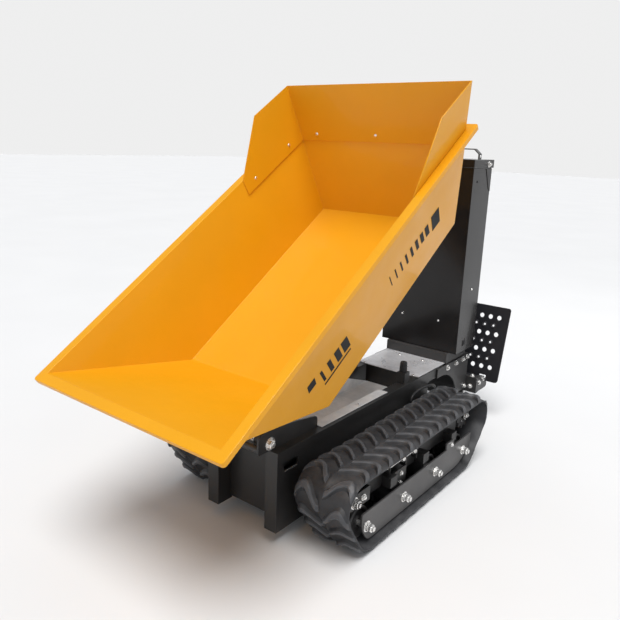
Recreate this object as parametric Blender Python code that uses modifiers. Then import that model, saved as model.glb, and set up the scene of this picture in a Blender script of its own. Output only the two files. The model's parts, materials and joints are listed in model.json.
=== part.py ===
"""Tracked power wheelbarrow (mini dumper) with a front-tipping skip.

Metres, +Z up.  The machine drives towards -Y, so +X is its left side.
All pieces hang from an empty at the middle of the chassis' front face, on the ground.
The skip is drawn as it lies when lowered, around its pivot, and an empty tips it.
"""
import math

import bmesh
import bpy
from mathutils import Matrix, Vector

GAP = 0.0003                # clearance between pieces that touch
FRONT_Y = -0.4692           # the chassis' front face, from the middle of the whole machine

# Chassis
HALF_W = 0.135              # outer face of a side rail
PLATE = 0.006               # rail plate
LEG_W, LEG_D = 0.043, 0.058  # folded front legs
CH_BOT, CH_TOP = 0.044, 0.288
RAIL_END = 0.985
FLANGE_Y = 0.004            # the rail's top flange starts here
DECK_Y = 0.790              # front edge of the rear deck plate
EAR_X0, EAR_X1 = 0.100, 0.106

# Skip, from its pivot: y backwards and z up when lowered
PIVOT_Z = 0.310
TILT = math.radians(33.2)   # how far the skip is tipped
LIP_Y = -0.244              # outer edge of the front lip
RIM_Z = 0.3812
RIM_LEN = 1.243
RIM_HALF = 0.3405
FLANGE = 0.027
FLANGE_DROP = 0.014
SKIP_DEPTH = 0.292
FLOOR_HALF = 0.2586
FLOOR_Y0, FLOOR_Y1 = 0.119, 0.8905
SHEET = 0.003
WALL_FLARE = (RIM_HALF - FLANGE - FLOOR_HALF) / SKIP_DEPTH
REAR_RAKE = (RIM_LEN + LIP_Y - FLANGE - FLOOR_Y1) / SKIP_DEPTH
GUARD_TOP = 0.130           # above the rim
GUARD_BOTTOM = -0.048
GUARD_FRONT = {GUARD_BOTTOM: 0.629, 0.0: 0.636, GUARD_TOP: 0.812}  # wing's front edge

# Tipping ram: both eyes lie at the same distance from the pivot
RAM_R = 0.240
RAM_BASE_ANGLE = math.radians(-64.0)
RAM_EYE_Z = 0.045           # rod eye above the pivot when lowered
ROD_LEN = 0.2515
BARREL_LEN = 0.235
SHAFT_R = 0.0098

# Tracks
TRACK_X = 0.265             # middle of a belt
BELT_HALF = 0.090
BELT_T = 0.030
LUG = 0.010
LUGS = 32
END_R = 0.053               # belt's inner radius round the idler and the sprocket
ROLL_R = 0.050
IDLER_Y, IDLER_Z = 0.097, 0.172
SPROCKET_Y, SPROCKET_Z = 0.852, 0.174
ROLLER_Y0, ROLLER_PITCH, ROLLER_Z = 0.152, 0.2053, 0.080
OUTER_X = 0.331             # inner face of the outer roller plate
INNER_X = 0.193

# Tower and controls
TOWER_HALF = 0.167
TOWER_Y0, TOWER_Y1 = 1.020, 1.180
TOWER_Z0, TOWER_Z1 = 0.330, 1.037

# Footplate, folded up
FOOT_Y, FOOT_Z = 1.2747, 0.166
FOOT_LEAN = math.radians(12.6)
FOOT_HALF = 0.250
FOOT_TOP = 0.3105
HOLE_R, HOLE_PITCH, HOLE_ROWS = 0.0098, 0.0375, 0.0353

YELLOW = (0.90, 0.42, 0.03)
BLACK = (0.022, 0.022, 0.024)
GRAPHITE = (0.050, 0.050, 0.053)
STEEL = (0.56, 0.57, 0.58)
ZINC = (0.72, 0.75, 0.78)
RUBBER = (0.030, 0.030, 0.032)


def clear_scene():
    for ob in list(bpy.data.objects):
        bpy.data.objects.remove(ob, do_unlink=True)


def collection(name):
    col = bpy.data.collections.new(name)
    bpy.context.scene.collection.children.link(col)
    return col


clear_scene()
PARTS = collection("tracked_power_wheelbarrow")
TOOLS = collection("cutters")


def empty(name, location, parent=None, rot_x=0.0):
    ob = bpy.data.objects.new(name, None)
    ob.location = location
    ob.rotation_euler = (rot_x, 0.0, 0.0)
    ob.parent = parent
    ob.empty_display_size = 0.05
    PARTS.objects.link(ob)
    return ob


ROOT = empty("machine", (0.0, FRONT_Y, 0.0))


def material(name, colour, rough, metal):
    mat = bpy.data.materials.new(name)
    mat.use_nodes = True
    bsdf = mat.node_tree.nodes["Principled BSDF"]
    bsdf.inputs["Base Color"].default_value = (*colour, 1.0)
    bsdf.inputs["Roughness"].default_value = rough
    bsdf.inputs["Metallic"].default_value = metal
    mat.diffuse_color = (*colour, 1.0)
    return mat


def add(name, mesh, look, parent=ROOT, location=(0.0, 0.0, 0.0)):
    """A node of the object, with a material of its own."""
    ob = bpy.data.objects.new(name, mesh)
    if len(mesh.materials) == 0:
        mesh.materials.append(material(name, *look))
    ob.parent = parent
    ob.location = location
    PARTS.objects.link(ob)
    return ob


def tool(mesh, parent=ROOT, location=(0.0, 0.0, 0.0)):
    """A shape that is only joined to, or cut from, a node."""
    ob = bpy.data.objects.new("tool", mesh)
    ob.parent = parent
    ob.location = location
    ob.hide_render = True
    ob.display_type = "WIRE"
    TOOLS.objects.link(ob)
    return ob


def boolean(ob, other, operation):
    mod = ob.modifiers.new(operation.lower(), "BOOLEAN")
    mod.operation = operation
    mod.solver = "EXACT"
    mod.object = other
    return ob


def join(ob, *meshes):
    for mesh in meshes:
        boolean(ob, tool(mesh, ob.parent, ob.location), "UNION")
    return ob


def cut(ob, *meshes):
    for mesh in meshes:
        boolean(ob, tool(mesh, ob.parent, ob.location), "DIFFERENCE")
    return ob


def finish(bm, name):
    mesh = bpy.data.meshes.new(name)
    bm.to_mesh(mesh)
    bm.free()
    return mesh


def box(x0, x1, y0, y1, z0, z1):
    bm = bmesh.new()
    bmesh.ops.create_cube(bm, size=1.0)
    bmesh.ops.scale(bm, vec=(abs(x1 - x0), abs(y1 - y0), abs(z1 - z0)), verts=bm.verts)
    bmesh.ops.translate(bm, vec=((x0 + x1) / 2, (y0 + y1) / 2, (z0 + z1) / 2), verts=bm.verts)
    return finish(bm, "box")


AXES = {
    "X": Matrix(((0, 0, 1), (1, 0, 0), (0, 1, 0))).to_4x4(),   # drawn in Y and Z
    "Y": Matrix(((1, 0, 0), (0, 0, -1), (0, 1, 0))).to_4x4(),  # drawn in X and Z
    "Z": Matrix.Identity(4),
}


def cylinder(axis, radius, a, b, u=0.0, v=0.0, seg=20):
    """Along an axis from a to b, with its centre at (u, v) in the plane it is drawn in."""
    bm = bmesh.new()
    bmesh.ops.create_cone(bm, cap_ends=True, segments=seg, radius1=radius, radius2=radius,
                          depth=abs(b - a))
    mid = (a + b) / 2 * (-1 if axis == "Y" else 1)
    bmesh.ops.translate(bm, vec=(u, v, mid), verts=bm.verts)
    bmesh.ops.transform(bm, matrix=AXES[axis], verts=bm.verts)
    mesh = finish(bm, "cylinder")
    round_off(mesh)
    return mesh


def round_off(mesh, angle=35.0):
    mesh.shade_smooth()
    mesh.set_sharp_from_angle(angle=math.radians(angle))


def curve_to_mesh(curve, name):
    """A closed mesh from a curve, with its caps welded."""
    ob = bpy.data.objects.new(name, curve)
    bpy.context.scene.collection.objects.link(ob)
    bpy.context.view_layer.update()
    deps = bpy.context.evaluated_depsgraph_get()
    mesh = bpy.data.meshes.new_from_object(ob.evaluated_get(deps))
    bpy.data.objects.remove(ob, do_unlink=True)
    bm = bmesh.new()
    bm.from_mesh(mesh)
    bmesh.ops.remove_doubles(bm, verts=bm.verts, dist=0.00002)
    bmesh.ops.recalc_face_normals(bm, faces=bm.faces)
    bm.to_mesh(mesh)
    bm.free()
    return mesh


def prism(axis, a, b, *outlines):
    """Flat outlines, the first with the others as holes, given thickness from a to b."""
    curve = bpy.data.curves.new("outline", "CURVE")
    curve.dimensions = "2D"
    curve.fill_mode = "BOTH"
    curve.extrude = abs(b - a) / 2
    for points in outlines:
        spline = curve.splines.new("POLY")
        spline.points.add(len(points) - 1)
        for point, (u, v) in zip(spline.points, points):
            point.co = (u, v, 0.0, 1.0)
        spline.use_cyclic_u = True
    mesh = curve_to_mesh(curve, "prism")
    mid = (a + b) / 2 * (-1 if axis == "Y" else 1)
    mesh.transform(AXES[axis] @ Matrix.Translation((0.0, 0.0, mid)))
    return mesh


def tube(points, radius, res=2):
    """A round bar along a smooth or a broken line."""
    curve = bpy.data.curves.new("tube", "CURVE")
    curve.dimensions = "3D"
    curve.bevel_depth = radius
    curve.bevel_resolution = res
    curve.use_fill_caps = True
    spline = curve.splines.new("POLY")
    spline.points.add(len(points) - 1)
    for point, co in zip(spline.points, points):
        point.co = (*co, 1.0)
    mesh = curve_to_mesh(curve, "tube")
    round_off(mesh)
    return mesh


def smooth_path(points, steps=5):
    """Catmull-Rom points through the given ones."""
    pts = [Vector(p) for p in points]
    pts = [2 * pts[0] - pts[1]] + pts + [2 * pts[-1] - pts[-2]]
    out = []
    for a, b, c, d in zip(pts, pts[1:], pts[2:], pts[3:]):
        for i in range(steps):
            t = i / steps
            out.append(0.5 * (2 * b + (c - a) * t + (2 * a - 5 * b + 4 * c - d) * t * t
                              + (3 * b - a - 3 * c + d) * t ** 3))
    return out + [pts[-2]]


def filleted(points, radius, steps=4):
    """A broken line in space with its corners rounded."""
    pts = [Vector(p) for p in points]
    out = [pts[0]]
    for a, b, c in zip(pts, pts[1:], pts[2:]):
        p, q = b + (a - b).normalized() * radius, b + (c - b).normalized() * radius
        out += [(1 - t) ** 2 * p + 2 * t * (1 - t) * b + t * t * q
                for t in (i / steps for i in range(steps + 1))]
    return out + [pts[-1]]


def rounded(points, radii, steps=4):
    """A closed outline with its corners rounded."""
    out = []
    count = len(points)
    for i, (point, radius) in enumerate(zip(points, radii)):
        if radius == 0:
            out.append(point)
            continue
        b = Vector(point)
        a, c = Vector(points[i - 1]), Vector(points[(i + 1) % count])
        p, q = b + (a - b).normalized() * radius, b + (c - b).normalized() * radius
        out += [tuple((1 - t) ** 2 * p + 2 * t * (1 - t) * b + t * t * q)
                for t in (k / steps for k in range(steps + 1))]
    return out


def rect(u0, u1, v0, v1, radius=0.0, steps=3):
    points = [(u0, v0), (u1, v0), (u1, v1), (u0, v1)]
    return rounded(points, [radius] * 4, steps) if radius else points


def ring(radius, u, v, seg=16, phase=0.0):
    return [(u + radius * math.cos(phase + 2 * math.pi * i / seg),
             v + radius * math.sin(phase + 2 * math.pi * i / seg)) for i in range(seg)]


def turned(name, profile, look, parent, location=(0.0, 0.0, 0.0), seg=24):
    """A solid of revolution about X; the profile's points are (radius, x), from +x round to -x."""
    bm = bmesh.new()
    verts = [bm.verts.new((r, 0.0, x)) for r, x in profile]
    for a, b in zip(verts, verts[1:]):
        bm.edges.new((a, b))
    if profile[0][0] > 1e-6:
        bm.edges.new((verts[-1], verts[0]))
    ob = add(name, finish(bm, name), look, parent, location)
    ob.rotation_euler = (0.0, math.pi / 2, 0.0)
    mod = ob.modifiers.new("turn", "SCREW")
    mod.axis = "Z"
    mod.steps = mod.render_steps = seg
    mod.use_merge_vertices = True
    mod.merge_threshold = 0.00002
    mod.use_smooth_shade = True
    return ob


# ---------------------------------------------------------------- chassis

def side_rail(name, s):
    """Folded side plate with its front leg, top flange, pivot ear and rest post."""
    x, w = HALF_W, PLATE
    plan = [(x, 0), (x, RAIL_END), (x - w, RAIL_END), (x - w, w), (x - LEG_W + w, w),
            (x - LEG_W + w, LEG_D), (x - LEG_W, LEG_D), (x - LEG_W, 0)]
    ob = add(name, prism("Z", CH_BOT, CH_TOP, [(s * u, v) for u, v in plan]),
             (BLACK, 0.42, 0.0))
    ear = rounded([(-0.046, 0.2885), (-0.046, 0.340), (-0.020, 0.352), (0.118, 0.338),
                   (0.215, 0.322), (0.215, 0.215), (0.003, 0.215), (0.003, 0.2885)],
                  [0.006, 0.012, 0.02, 0, 0.014, 0.012, 0, 0])
    post = box(s * 0.0935, s * 0.1265, 0.698, 0.731, CH_TOP - 0.003, 0.328)
    join(ob, box(s * 0.0953, s * 0.1322, FLANGE_Y, RAIL_END, CH_TOP - 0.005, CH_TOP),
         prism("X", s * EAR_X0, s * EAR_X1, ear), post)
    arch = rounded([(0.868, 0.0), (0.868, 0.252), (1.2, 0.252), (1.2, 0.0)],
                   [0, 0.012, 0, 0])
    cut(ob, prism("X", s * 0.120, s * 0.150, rect(0.028, 0.090, 0.225, 0.251, 0.008)),
        prism("X", s * 0.080, s * 0.150, arch),
        cylinder("X", SHAFT_R + GAP, s * 0.09, s * 0.12, 0.0, PIVOT_Z))
    return ob


def chassis_plates():
    inner = HALF_W - LEG_W
    add("front_panel", box(-inner + GAP, inner - GAP, 0.050, 0.054, 0.055, 0.286),
        (BLACK, 0.40, 0.0))
    edge = HALF_W - PLATE - GAP
    add("belly_plate", box(-edge, edge, 0.066, 0.800, 0.050, 0.056), (BLACK, 0.5, 0.0))
    add("cross_member", box(-0.0948, 0.0948, DECK_Y + 0.003, 0.833, 0.2185, 0.2877),
        (BLACK, 0.42, 0.0))
    deck = [(-0.130, DECK_Y + 0.006), (-0.075, DECK_Y), (0.075, DECK_Y),
            (0.130, DECK_Y + 0.006), (0.130, 1.0075), (-0.130, 1.0075)]
    add("rear_deck", prism("Z", CH_TOP + GAP, CH_TOP + 0.0033, deck), (ZINC, 0.38, 0.8))
    add("battery_pack", box(-0.084, 0.084, 0.285, 0.765, 0.0565, 0.2140),
        (GRAPHITE, 0.55, 0.0))


def tray():
    """Zinc-plated pan hung between the rails by its two side flanges."""
    bm = bmesh.new()
    bmesh.ops.create_cube(bm, size=1.0)
    half, y0, y1, top, floor = 0.0865, 0.258, 0.7905, CH_TOP + 0.0028, 0.2205
    for v in bm.verts:
        v.co = (half * (1 if v.co.x > 0 else -1), y1 if v.co.y > 0 else y0,
                top if v.co.z > 0 else floor)
    ends = [f for f in bm.faces if abs(f.normal.y) > 0.5 or f.normal.z > 0.5]
    bmesh.ops.delete(bm, geom=ends, context="FACES_ONLY")
    edges = [e for e in bm.edges if all(v.co.z > 0.25 for v in e.verts)
             and abs(e.verts[0].co.y - e.verts[1].co.y) > 0.1]
    made = bmesh.ops.extrude_edge_only(bm, edges=edges)["geom"]
    for v in (g for g in made if isinstance(g, bmesh.types.BMVert)):
        v.co.x += math.copysign(0.036, v.co.x)
    for v in bm.verts:
        if v.co.z > 0.25:
            v.co.y = 0.590 if v.co.y > 0.5 else 0.2165
    bmesh.ops.recalc_face_normals(bm, faces=bm.faces)
    floor_face = min(bm.faces, key=lambda f: f.calc_center_median().z)
    if floor_face.normal.z > 0:
        bmesh.ops.reverse_faces(bm, faces=bm.faces)
    ob = add("galvanised_tray", finish(bm, "tray"), (ZINC, 0.33, 0.75))
    solid = ob.modifiers.new("sheet", "SOLIDIFY")
    solid.thickness = 0.002
    solid.offset = 1.0
    return ob


def buffer(name, s):
    """Rubber block that the skip's frame rests on."""
    mesh = prism("Z", 0.328 + GAP, PIVOT_Z + 0.0559 - GAP, ring(0.0135, s * 0.109, 0.7145, 16))
    round_off(mesh)
    return add(name, mesh, (RUBBER, 0.8, 0.0))


def drive_bracket(name, s):
    """Plate bolted outside a rail's rear end, arched over the drive."""
    arc = [(0.968 + 0.150 * math.cos(a), 0.108 + 0.142 * math.sin(a))
           for a in (math.radians(d) for d in range(84, 10, -12))]
    outline = [(RAIL_END - 0.055, 0.286), (1.205, 0.286), (1.205, 0.135), (1.118, 0.135)]
    outline += arc[::-1] + [(RAIL_END - 0.055, 0.250)]
    return add(name, prism("X", s * (HALF_W + GAP), s * (HALF_W + 0.0063), outline),
               (BLACK, 0.42, 0.0))


def pivot():
    """Cross shaft with a washer and a nut outside each ear, and the spacer bar ahead of it."""
    r, w, n = SHAFT_R, EAR_X1 + GAP, EAR_X1 + 0.0033
    profile = [(0, 0.120), (0.011, 0.120), (0.0125, 0.118), (0.0125, n), (0.0192, n),
               (0.0192, w), (r, w), (r, -w), (0.0192, -w), (0.0192, -n), (0.0125, -n),
               (0.0125, -0.118), (0.011, -0.120), (0, -0.120)]
    turned("pivot_shaft", profile, (STEEL, 0.3, 1.0), ROOT, (0, 0, PIVOT_Z), 20)
    add("front_spacer", cylinder("X", 0.0105, -EAR_X0 + GAP, EAR_X0 - GAP, -0.0335, 0.3005, 16),
        (BLACK, 0.4, 0.0))


# ---------------------------------------------------------------- skip and ram

SKIP = empty("skip_pivot", (0.0, 0.0, PIVOT_Z), ROOT, TILT)


def skip_tub():
    """Sheet-steel tub with a flat flange that is turned down at its outer edge."""
    bm = bmesh.new()
    bmesh.ops.create_cube(bm, size=1.0)
    inner_y0, inner_y1 = LIP_Y + FLANGE, LIP_Y + RIM_LEN - FLANGE
    for v in bm.verts:
        top, back = v.co.z > 0, v.co.y > 0
        half = RIM_HALF - FLANGE if top else FLOOR_HALF
        y = (inner_y1 if back else inner_y0) if top else (FLOOR_Y1 if back else FLOOR_Y0)
        v.co = (math.copysign(half, v.co.x), y, RIM_Z if top else RIM_Z - SKIP_DEPTH)
    bmesh.ops.delete(bm, geom=[f for f in bm.faces if f.normal.z > 0.5], context="FACES_ONLY")
    rim = [e for e in bm.edges if e.is_boundary]
    made = bmesh.ops.extrude_edge_only(bm, edges=rim)["geom"]
    for v in (g for g in made if isinstance(g, bmesh.types.BMVert)):
        v.co.x += math.copysign(FLANGE, v.co.x)
        v.co.y += FLANGE if v.co.y > 0.3 else -FLANGE
    rim = [e for e in bm.edges if e.is_boundary]
    made = bmesh.ops.extrude_edge_only(bm, edges=rim)["geom"]
    lower = {g for g in made if isinstance(g, bmesh.types.BMVert)}
    for v in lower:
        v.co.z -= FLANGE_DROP
    corners = [e for e in bm.edges if (e.verts[0] in lower) != (e.verts[1] in lower)]
    bmesh.ops.bevel(bm, geom=corners, offset=0.016, segments=3, profile=0.5, affect="EDGES")
    bmesh.ops.recalc_face_normals(bm, faces=bm.faces)
    floor = min(bm.faces, key=lambda f: f.calc_center_median().z)
    if floor.normal.z > 0:
        bmesh.ops.reverse_faces(bm, faces=bm.faces)
    ob = add("skip", finish(bm, "skip"), (YELLOW, 0.35, 0.0), SKIP)
    solid = ob.modifiers.new("sheet", "SOLIDIFY")
    solid.thickness = SHEET
    solid.offset = 1.0
    solid.use_even_offset = True
    return ob


def spill_guard():
    """Three-sided sheet bolted inside the back of the tub, standing above its rim."""
    bm = bmesh.new()
    bmesh.ops.create_grid(bm, x_segments=3, y_segments=2, size=1.0)
    clear = 2 * GAP
    for v in bm.verts:
        rise = (GUARD_BOTTOM, 0.0, GUARD_TOP)[round(v.co.y) + 1]
        x = RIM_HALF - FLANGE + WALL_FLARE * rise - clear
        y = LIP_Y + RIM_LEN - FLANGE + REAR_RAKE * rise - clear
        if abs(v.co.x) > 0.5:
            y = GUARD_FRONT[rise]
        v.co = (math.copysign(x, v.co.x), y, RIM_Z + rise)
    bmesh.ops.recalc_face_normals(bm, faces=bm.faces)
    back = max(bm.faces, key=lambda f: f.calc_center_median().y)
    if back.normal.y < 0:
        bmesh.ops.reverse_faces(bm, faces=bm.faces)
    ob = add("spill_guard", finish(bm, "guard"), (YELLOW, 0.35, 0.0), SKIP)
    solid = ob.modifiers.new("sheet", "SOLIDIFY")
    solid.thickness = SHEET
    solid.offset = -1.0
    solid.use_even_offset = True
    return ob


def ram_eye():
    """The rod eye, from the pivot, when the skip is lowered."""
    return math.sqrt(RAM_R ** 2 - RAM_EYE_Z ** 2), RAM_EYE_Z


def skip_frame():
    """Two beams and cross-bars under the tub, with the pivot hubs and the ram's clevis."""
    top = RIM_Z - SKIP_DEPTH - SHEET - GAP
    low = 0.0559
    ey, ez = ram_eye()
    ob = add("skip_frame", box(-0.120, 0.120, 0.106, 0.136, low, top), (BLACK, 0.42, 0.0), SKIP)
    gusset = rounded([(-0.018, -0.010), (0.012, -0.016), (0.150, 0.040), (0.300, 0.060),
                      (0.300, 0.080), (0.085, 0.080), (-0.018, 0.012)],
                     [0.008, 0.012, 0.03, 0, 0, 0.02, 0.008])
    for s in (-1, 1):
        join(ob, box(s * 0.080, s * 0.120, 0.080, 0.860, low, top),
             prism("X", s * 0.074, s * 0.084, gusset),
             cylinder("X", 0.0180, s * 0.062, s * 0.098))
        join(ob, box(s * 0.0160, s * 0.0230, ey - 0.016, ey + 0.016, ez - 0.016, 0.070))
    join(ob, box(-0.090, 0.090, ey - 0.022, ey + 0.022, 0.064, top),
         box(-0.090, 0.090, 0.460, 0.490, low, top), box(-0.090, 0.090, 0.830, 0.860, low, top),
         cylinder("X", 0.0080, -0.028, 0.028, ey, ez, 16))
    cut(ob, cylinder("X", SHAFT_R + GAP, -0.15, 0.15))
    return ob


def ram():
    """Double-acting ram: base bracket, barrel and rod.  Its angle is half the skip's."""
    by, bz = (RAM_R * math.cos(RAM_BASE_ANGLE), PIVOT_Z + RAM_R * math.sin(RAM_BASE_ANGLE))
    ey, ez = ram_eye()
    tip = Matrix.Rotation(TILT, 2) @ Vector((ey, ez)) + Vector((0.0, PIVOT_Z))
    run = tip - Vector((by, bz))
    lean = math.atan2(run.y, run.x) - math.pi / 2
    bracket = add("ram_bracket", box(-0.035, 0.035, by - 0.030, by + 0.030, 0.0563, 0.0620),
                  (BLACK, 0.45, 0.0))
    for s in (-1, 1):
        join(bracket, box(s * 0.0160, s * 0.0220, by - 0.016, by + 0.016, 0.060, bz + 0.016))
    join(bracket, cylinder("X", 0.0080, -0.027, 0.027, by, bz, 16))

    base = empty("ram_base", (0.0, by, bz), ROOT, lean)
    barrel = add("ram_barrel", cylinder("Z", 0.0240, 0.024, BARREL_LEN, seg=24),
                 (BLACK, 0.35, 0.0), base)
    join(barrel, cylinder("X", 0.0165, -0.0150, 0.0150), box(-0.012, 0.012, -0.012, 0.012,
                                                           0.004, 0.030))
    cut(barrel, cylinder("Z", 0.0185, 0.036, BARREL_LEN - 0.013, seg=24),
        cylinder("Z", 0.0112, 0.100, BARREL_LEN + 0.02, seg=20),
        cylinder("X", 0.0083, -0.03, 0.03, seg=16))

    eye = empty("ram_rod_eye", (0.0, tip.x, tip.y), ROOT, lean)
    rod = add("ram_rod", cylinder("Z", 0.0105, -ROD_LEN, -0.008, seg=20), (STEEL, 0.16, 1.0), eye)
    join(rod, cylinder("Z", 0.0180, -ROD_LEN, -ROD_LEN + 0.020, seg=24),
         cylinder("X", 0.0155, -0.0150, 0.0150))
    cut(rod, cylinder("X", 0.0083, -0.03, 0.03, seg=16))


# ---------------------------------------------------------------- tracks

def hull(points):
    """Convex outline, anticlockwise."""
    points = sorted(set(points))

    def half(pts):
        out = []
        for p in pts:
            while len(out) > 1 and ((out[-1][0] - out[-2][0]) * (p[1] - out[-2][1])
                                    - (out[-1][1] - out[-2][1]) * (p[0] - out[-2][0])) <= 0:
                out.pop()
            out.append(p)
        return out[:-1]

    return half(points) + half(points[::-1])


def belt_line(grow=0.0):
    """Where the belt's inside runs round the wheels, with the top run's sag."""
    circles = [(IDLER_Y, IDLER_Z, END_R), (SPROCKET_Y, SPROCKET_Z, END_R),
               (ROLLER_Y0, ROLLER_Z, ROLL_R),
               (ROLLER_Y0 + 3 * ROLLER_PITCH, ROLLER_Z, ROLL_R)]
    line = hull([p for y, z, r in circles for p in ring(r + grow, y, z, 36)])
    out = []
    for (y0, z0), (y1, z1) in zip(line, line[1:] + line[:1]):
        n = max(1, int(math.hypot(y1 - y0, z1 - z0) / 0.03))
        for i in range(n):
            y, z = y0 + (y1 - y0) * i / n, z0 + (z1 - z0) * i / n
            if z > 0.2 and 0.12 < y < 0.47:
                z -= 0.011 * math.sin(math.pi * (y - 0.12) / 0.35) ** 2
            out.append((y, z))
    return out


def belt(name, s):
    """Endless rubber belt with square lugs."""
    inner = belt_line()
    steps = [math.dist(a, b) for a, b in zip(inner, inner[1:] + inner[:1])]
    total = sum(steps)

    def at(dist):
        dist %= total
        for i, step in enumerate(steps):
            if dist <= step:
                a, b = inner[i], inner[(i + 1) % len(inner)]
                t = dist / step
                return a[0] + (b[0] - a[0]) * t, a[1] + (b[1] - a[1]) * t
            dist -= step
        return inner[0]

    outer = []
    for i in range(LUGS):
        for frac, height in ((0.0, BELT_T - LUG), (0.05, BELT_T), (0.28, BELT_T),
                             (0.50, BELT_T), (0.55, BELT_T - LUG), (0.78, BELT_T - LUG)):
            d = (i + frac) * total / LUGS
            p, a, b = at(d), at(d - 0.006), at(d + 0.006)
            length = math.dist(a, b)
            ny, nz = (b[1] - a[1]) / length, -(b[0] - a[0]) / length
            outer.append((p[0] + ny * height, max(p[1] + nz * height, 0.0)))
    return add(name, prism("X", s * (TRACK_X - BELT_HALF), s * (TRACK_X + BELT_HALF),
                           outer, inner), (RUBBER, 0.75, 0.0))


def track_frame(name, s):
    """Inner plate, box beam and the two arms that carry the track from the chassis."""
    x0, x1 = INNER_X, INNER_X + 0.006
    plate = rounded([(0.128, 0.036), (0.780, 0.036), (0.860, 0.128), (0.872, 0.205),
                     (0.800, 0.212), (0.740, 0.172), (0.200, 0.172), (0.128, 0.120)],
                    [0.02, 0.03, 0.03, 0.02, 0.02, 0.02, 0.02, 0.02])
    ob = add(name, prism("X", s * x0, s * x1, plate), (BLACK, 0.45, 0.0))
    join(ob, box(s * 0.232, s * 0.298, 0.206, 0.780, 0.134, 0.178))
    for y in (0.300, 0.500, 0.700):
        join(ob, box(s * (x0 + 0.003), s * (OUTER_X - GAP), y - 0.018, y + 0.018, 0.136, 0.168))
    for y in (0.300, 0.700):
        join(ob, box(s * (HALF_W + GAP), s * (x0 + 0.003), y - 0.030, y + 0.030, 0.110, 0.165))
    join(ob, box(s * 0.3135, s * 0.3195, 0.310, 0.392, 0.107, 0.167))
    cut(ob, cylinder("X", 0.0200, s * 0.18, s * 0.21, SPROCKET_Y, SPROCKET_Z, 20))
    return ob


def outer_plate(name, s):
    """Bar outside the rollers with their four axles, each with two nuts."""
    x0, x1 = OUTER_X, OUTER_X + 0.006
    plate = rounded([(0.126, 0.1250), (0.126, 0.080), (0.158, 0.0320), (0.735, 0.0320),
                     (0.822, 0.0680), (0.830, 0.1250), (0.690, 0.1250), (0.690, 0.1500),
                     (0.636, 0.1500), (0.636, 0.1250)],
                    [0.008, 0.02, 0.02, 0.03, 0.02, 0.008, 0, 0.006, 0.006, 0])
    ob = add(name, prism("X", s * x0, s * x1, plate), (GRAPHITE, 0.45, 0.0))
    for i in range(4):
        y = ROLLER_Y0 + i * ROLLER_PITCH
        join(ob, cylinder("X", 0.0080, s * (INNER_X + 0.0063), s * 0.362, y, ROLLER_Z, 10),
             prism("X", s * (x1 - 0.001), s * 0.343, ring(0.0130, y, ROLLER_Z, 6)),
             prism("X", s * 0.350, s * 0.3595, ring(0.0130, y, ROLLER_Z, 6, 0.3)))
    return ob


def wheel_profile(radius, half, bore, groove):
    """Rim with a groove for the belt's guide lugs."""
    return [(bore, half), (radius - 0.004, half), (radius, half - 0.004), (radius, 0.018),
            (groove, 0.014), (groove, -0.014), (radius, -0.018), (radius, -half + 0.004),
            (radius - 0.004, -half), (bore, -half)]


def track(side, s):
    x = s * TRACK_X
    track_frame(f"track_frame_{side}", s)
    outer_plate(f"roller_plate_{side}", s)
    belt(f"track_belt_{side}", s)
    for i in range(4):
        turned(f"roller_{side}{i + 1}", wheel_profile(ROLL_R - 0.0008, 0.046, 0.0085, 0.036),
               (GRAPHITE, 0.4, 0.3), ROOT, (x, ROLLER_Y0 + i * ROLLER_PITCH, ROLLER_Z), 16)
    turned(f"idler_{side}", wheel_profile(END_R - 0.0008, 0.040, 0.0095, 0.038),
           (GRAPHITE, 0.4, 0.3), ROOT, (x, IDLER_Y, IDLER_Z), 18)

    carrier = add(f"idler_carrier_{side}",
                  cylinder("X", 0.0090, s * 0.203, s * 0.346, IDLER_Y, IDLER_Z, 16),
                  (BLACK, 0.42, 0.0))
    arm = rounded([(0.072, 0.150), (0.174, 0.150), (0.174, 0.194), (0.072, 0.194)],
                  [0.018, 0, 0, 0.018])
    for x0, x1 in ((0.200, 0.207), (0.320, 0.327)):
        join(carrier, prism("X", s * x0, s * x1, arm))
    join(carrier, box(s * 0.201, s * 0.326, 0.162, 0.172, 0.1505, 0.1935),
         cylinder("Y", 0.0080, 0.170, 0.206 - GAP, s * TRACK_X, 0.160, 16),
         prism("X", s * 0.326, s * 0.337, ring(0.0135, IDLER_Y, IDLER_Z, 6)))

    teeth = []
    for i in range(11):
        a = 2 * math.pi * i / 11
        for r, da in ((0.0425, -0.20), (0.0520, -0.10), (0.0520, 0.10), (0.0425, 0.20)):
            teeth.append((r * math.cos(a + da), r * math.sin(a + da)))
    add(f"drive_sprocket_{side}", prism("X", -0.028, 0.028, teeth, ring(0.0163, 0, 0, 20)),
        (GRAPHITE, 0.4, 0.4), ROOT, (x, SPROCKET_Y, SPROCKET_Z))
    motor = [(0, 0.300), (0.016, 0.300), (0.016, 0.1928), (0.042, 0.1928), (0.042, 0.152),
             (0.036, 0.148), (0.036, 0.1383), (0, 0.1383)]
    if s < 0:
        motor = [(r, -v) for r, v in motor[::-1]]
    turned(f"drive_motor_{side}", motor, (BLACK, 0.4, 0.0), ROOT,
           (0.0, SPROCKET_Y, SPROCKET_Z), 20)
    hose = [(0.110, 0.905, 0.222), (0.148, 0.893, 0.230), (0.157, 0.862, 0.248),
            (0.157, 0.810, 0.258), (0.157, 0.757, 0.260), (0.156, 0.716, 0.251),
            (0.155, 0.702, 0.231), (0.155, 0.722, 0.212), (0.156, 0.765, 0.198),
            (0.160, 0.8085, 0.180)]
    add(f"drive_cable_{side}", tube(smooth_path([(s * a, b, c) for a, b, c in hose], 3), 0.0055),
        (RUBBER, 0.5, 0.0))


# ---------------------------------------------------------------- tower, controls, footplate

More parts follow.
